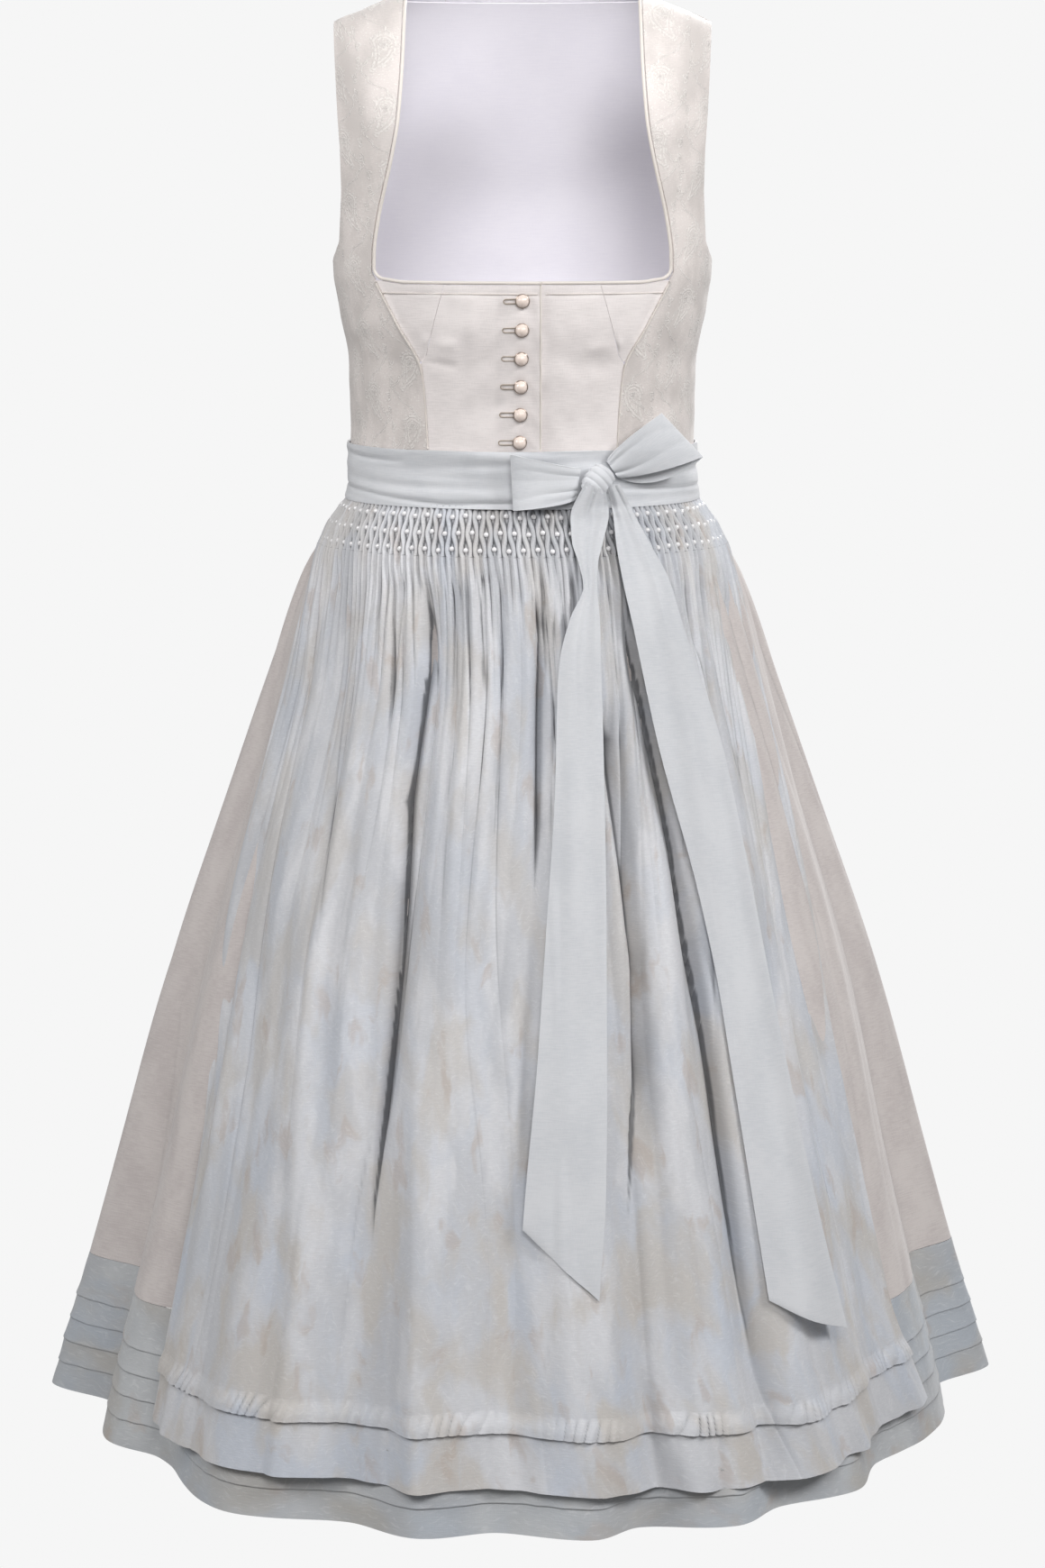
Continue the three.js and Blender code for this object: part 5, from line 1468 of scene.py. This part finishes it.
def tail(word, rows, seed, pleats):
    """A hanging end of the bow: it fans out in pleats from the knot, and lies on the apron."""
    u, v = np.meshgrid(np.linspace(0, 1, TAIL_COLUMNS), np.linspace(0, 1, TAIL_ROWS))
    row = v * (len(rows["row"]) - 1)
    x0, x1, z0, z1, lift_off = (column(rows, key, row) for key in ("x0", "x1", "z0", "z1", "out"))
    x, z = lerp(x0, x1, u), lerp(z0, z1, u)
    crown = np.sin(math.pi * u)
    depth = blurred(reach(x, z) + (RIBBON_GAP + RIBBON_WALL + TAIL_BOW * crown + lift_off), TAIL_SOFTEN)
    fan = FAN["open"] * np.exp(-(z0[0, 0] - z) / FAN["fade"]) + FAN["rest"]
    pleat = np.abs(np.sin(math.pi * (pleats * u + wave("tail_pleat", v * 100, u, seed)))) - 0.5
    depth = depth + fan * crown * pleat
    depth = depth + wave("tail", u * 40, z, seed) * crown
    low = SMOCK_BOTTOM - 2
    face = np.where(z < low, apron_face(x, np.minimum(z, low)), 0)
    point = np.stack([x, -np.maximum(depth, face + APRON_CLEARANCE), z], -1)
    place = np.stack([u * TAIL_WIDTH + seed * 300, -z], -1)
    # The tails take the band's cloth painted darker, as painted shade.
    piece = cloth(f"tail_{word}_cloth", point, place, THICK["ribbon"], [LOOKS["tail"]])
    seat(piece, "band", "bow_tail_" + word)


def bow_loop(word, shape, seed):
    """The strip leaves the knot, turns back at its outer end and returns behind."""
    u, v = np.meshgrid(np.linspace(0, 1, 97), np.linspace(0, 1, 37))
    knot_x, knot_z = (lerp(shape["knot_top"][i], shape["knot_bottom"][i], v) for i in (0, 1))
    end_x, end_z = (lerp(shape["end_top"][i], shape["end_bottom"][i], v) for i in (0, 1))
    turn = math.pi * u
    out = np.sin(turn)
    x = lerp(knot_x, end_x, out)
    z = lerp(knot_z, end_z, out ** lerp(shape["top_bow"], shape["low_bow"], v))
    z = z - shape["sag"] * smooth((u - 0.5) / SAG_RAMP) * np.sin(math.pi * out) ** 0.8
    swell = LOOP_NECK + shape["depth"] * np.sin(math.pi * out / 2) * (1 - LOOP_FLATTEN * out)
    front = (1 + np.cos(turn)) * swell
    behind = band_reach(np.minimum(x, KNOT["x"]), z)
    away = LOOP_SLOPE * np.maximum(0, x - KNOT["x"])
    waver = wave("loop_pleat", u * 30, v * 10, seed)
    pleat = np.abs(np.sin(math.pi * (LOOP_PLEATS["count"] * v + waver))) - 0.55
    strength = LOOP_PLEATS["knot"] * np.exp(-out / LOOP_PLEATS["fade"]) + LOOP_PLEATS["end"]
    strength = np.where(u < 0.5, 1, LOOP_PLEATS["behind"]) * strength
    relief = strength * pleat * np.sin(math.pi * v) ** 0.5
    y = away - behind - shape["rest"] - RIBBON_WALL - front - relief
    place = np.stack([(u + seed) * 160, v * 45], -1)
    point = np.stack([x, y, z], -1)
    piece = cloth(f"loop_{word}_cloth", point, place, THICK["ribbon"], [LOOKS["band"]])
    seat(piece, "band", "bow_loop_" + word)


def turned(angle, first, second):
    """A turn in the plane of two of the three directions."""
    matrix = np.eye(3)
    matrix[first, first] = matrix[second, second] = math.cos(angle)
    matrix[first, second], matrix[second, first] = -math.sin(angle), math.sin(angle)
    return matrix


def bow_knot():
    """A short wrap with folds running round it, tilted up to the viewer's right."""
    rings, sides = 44, 64
    t = np.linspace(-1, 1, rings)
    profile = np.interp(t, [-1, -0.8, -0.3, 0.3, 0.8, 1], [0.5, 0.84, 1, 1, 0.84, 0.5])
    turn = full_turn(sides)
    strand = t[:, None] * 2.2 + 0.35 * np.sin(turn + 0.8) + 0.3
    radius = profile[:, None] * (0.94 + 0.12 * np.abs(np.cos(math.pi * strand)) ** 0.6)
    along = np.broadcast_to(t[:, None] * KNOT["wide"] / 2, radius.shape)
    local = np.stack([radius * np.cos(turn) * KNOT["tall"] / 2, radius * np.sin(turn) * KNOT["deep"] / 2,
                      along], -1)
    tilt = turned(math.pi / 2 - KNOT["tilt"], 2, 0)
    lean = turned(math.atan(LOOP_SLOPE), 0, 1)
    forward = float(band_reach(KNOT["x"], KNOT["z"])) + KNOT["out"] + KNOT["deep"] / 2
    points = local.reshape(-1, 3) @ tilt.T @ lean.T + (KNOT["x"], -forward, KNOT["z"])
    faces = grid_faces(rings, sides, closed=True)[:, ::-1].tolist() + end_caps(rings, sides)
    seat(joined("knot_cloth", [(points, faces)], LOOKS["band"]), "band", "bow_knot")


tail("left", LEFT_TAIL, 4, 2.3)
tail("right", RIGHT_TAIL, 7, 1.6)
bow_loop("left", LEFT_LOOP, 2)
bow_loop("right", RIGHT_LOOP, 5)
bow_knot()


# ------------------------------------------------------------ camera, backdrop and light
def camera():
    view = bpy.data.objects.new("camera", bpy.data.cameras.new("camera"))
    bpy.context.scene.collection.objects.link(view)
    view.location = (0, -CAMERA_DISTANCE * MM, CAMERA_HEIGHT * MM)
    view.rotation_euler = (math.radians(90 - CAMERA_TILT), 0, 0)
    view.data.sensor_width = SENSOR
    view.data.lens = SENSOR * FOCAL_PIXELS / PHOTO_HEIGHT
    bpy.context.scene.camera = view


def backdrop():
    """A pale floor that curves up on all sides into a pale wall and ceiling."""
    turn = np.linspace(0, math.pi / 2, 12)
    radius = np.concatenate([[1], ROOM["floor"] + ROOM["curve"] * np.sin(turn), [ROOM["size"], 1]])
    height = np.concatenate([[0], ROOM["curve"] * (1 - np.cos(turn)), [ROOM["size"], ROOM["size"]]]) + FLOOR
    around = np.linspace(0, 2 * math.pi, 49)
    points = np.stack([np.outer(radius, np.cos(around)), np.outer(radius, np.sin(around)),
                       np.repeat(height[:, None], len(around), 1)], -1)
    piece = make_mesh("backdrop", points.reshape(-1, 3), grid_faces(*points.shape[:2]))
    shade = Shade("backdrop", 0.9)
    shade.set("Base Color", srgb(0, 0, 0))
    shade.set("Specular IOR Level", 0)
    shade.set("Emission Color", srgb(*WALL_COLOUR))
    shade.set("Emission Strength", 1.0)
    piece.data.materials.append(shade.material)
    piece.visible_diffuse = piece.visible_glossy = piece.visible_shadow = False


def light(name, kind, energy, place, aim, size):
    lamp = bpy.data.objects.new(name, bpy.data.lights.new(name, kind))
    bpy.context.scene.collection.objects.link(lamp)
    lamp.data.energy = energy
    if kind == "SPOT":
        lamp.data.spot_size = math.radians(size)
        lamp.data.spot_blend = 1
    else:
        lamp.data.size = size
    lamp.location = place
    lamp.rotation_euler = (Vector(aim) - Vector(place)).to_track_quat("-Z", "Y").to_euler()


def studio_air():
    world = bpy.data.worlds.new("studio")
    world.use_nodes = True
    world.node_tree.nodes["Background"].inputs["Color"].default_value = srgb(*AIR_COLOUR)
    world.node_tree.nodes["Background"].inputs["Strength"].default_value = AIR_STRENGTH
    bpy.context.scene.world = world


ROOM = {"floor": 9000, "curve": 3000, "size": 12000}
WALL_COLOUR = (246, 246, 246)
AIR_COLOUR = (250, 250, 250)
AIR_STRENGTH = 0.3
# Lamps: power, place and aim in metres, and the width of an area lamp in metres or the angle of a spot.
LAMPS = [
    ("key", "AREA", 78, (2.8, -1.7, 1.7), (0, 0, -0.4), 1.1),
    ("fill", "AREA", 61, (-3.0, -1.4, 1.5), (0, 0, -0.4), 1.2),
    ("front", "AREA", 25, (0.3, -2.3, 0.9), (0, 0, -0.3), 1.0),
    ("collar", "SPOT", 145, (0, -2.7, -0.35), (0, 0.12, 0.0), 6),
    ("rear", "AREA", 110, (1.2, 3.2, 1.4), (0, 0, -0.5), 1.6),
]
camera()
backdrop()
for lamp in LAMPS:
    light(*lamp)
studio_air()
bpy.context.scene.view_settings.view_transform = "Standard"
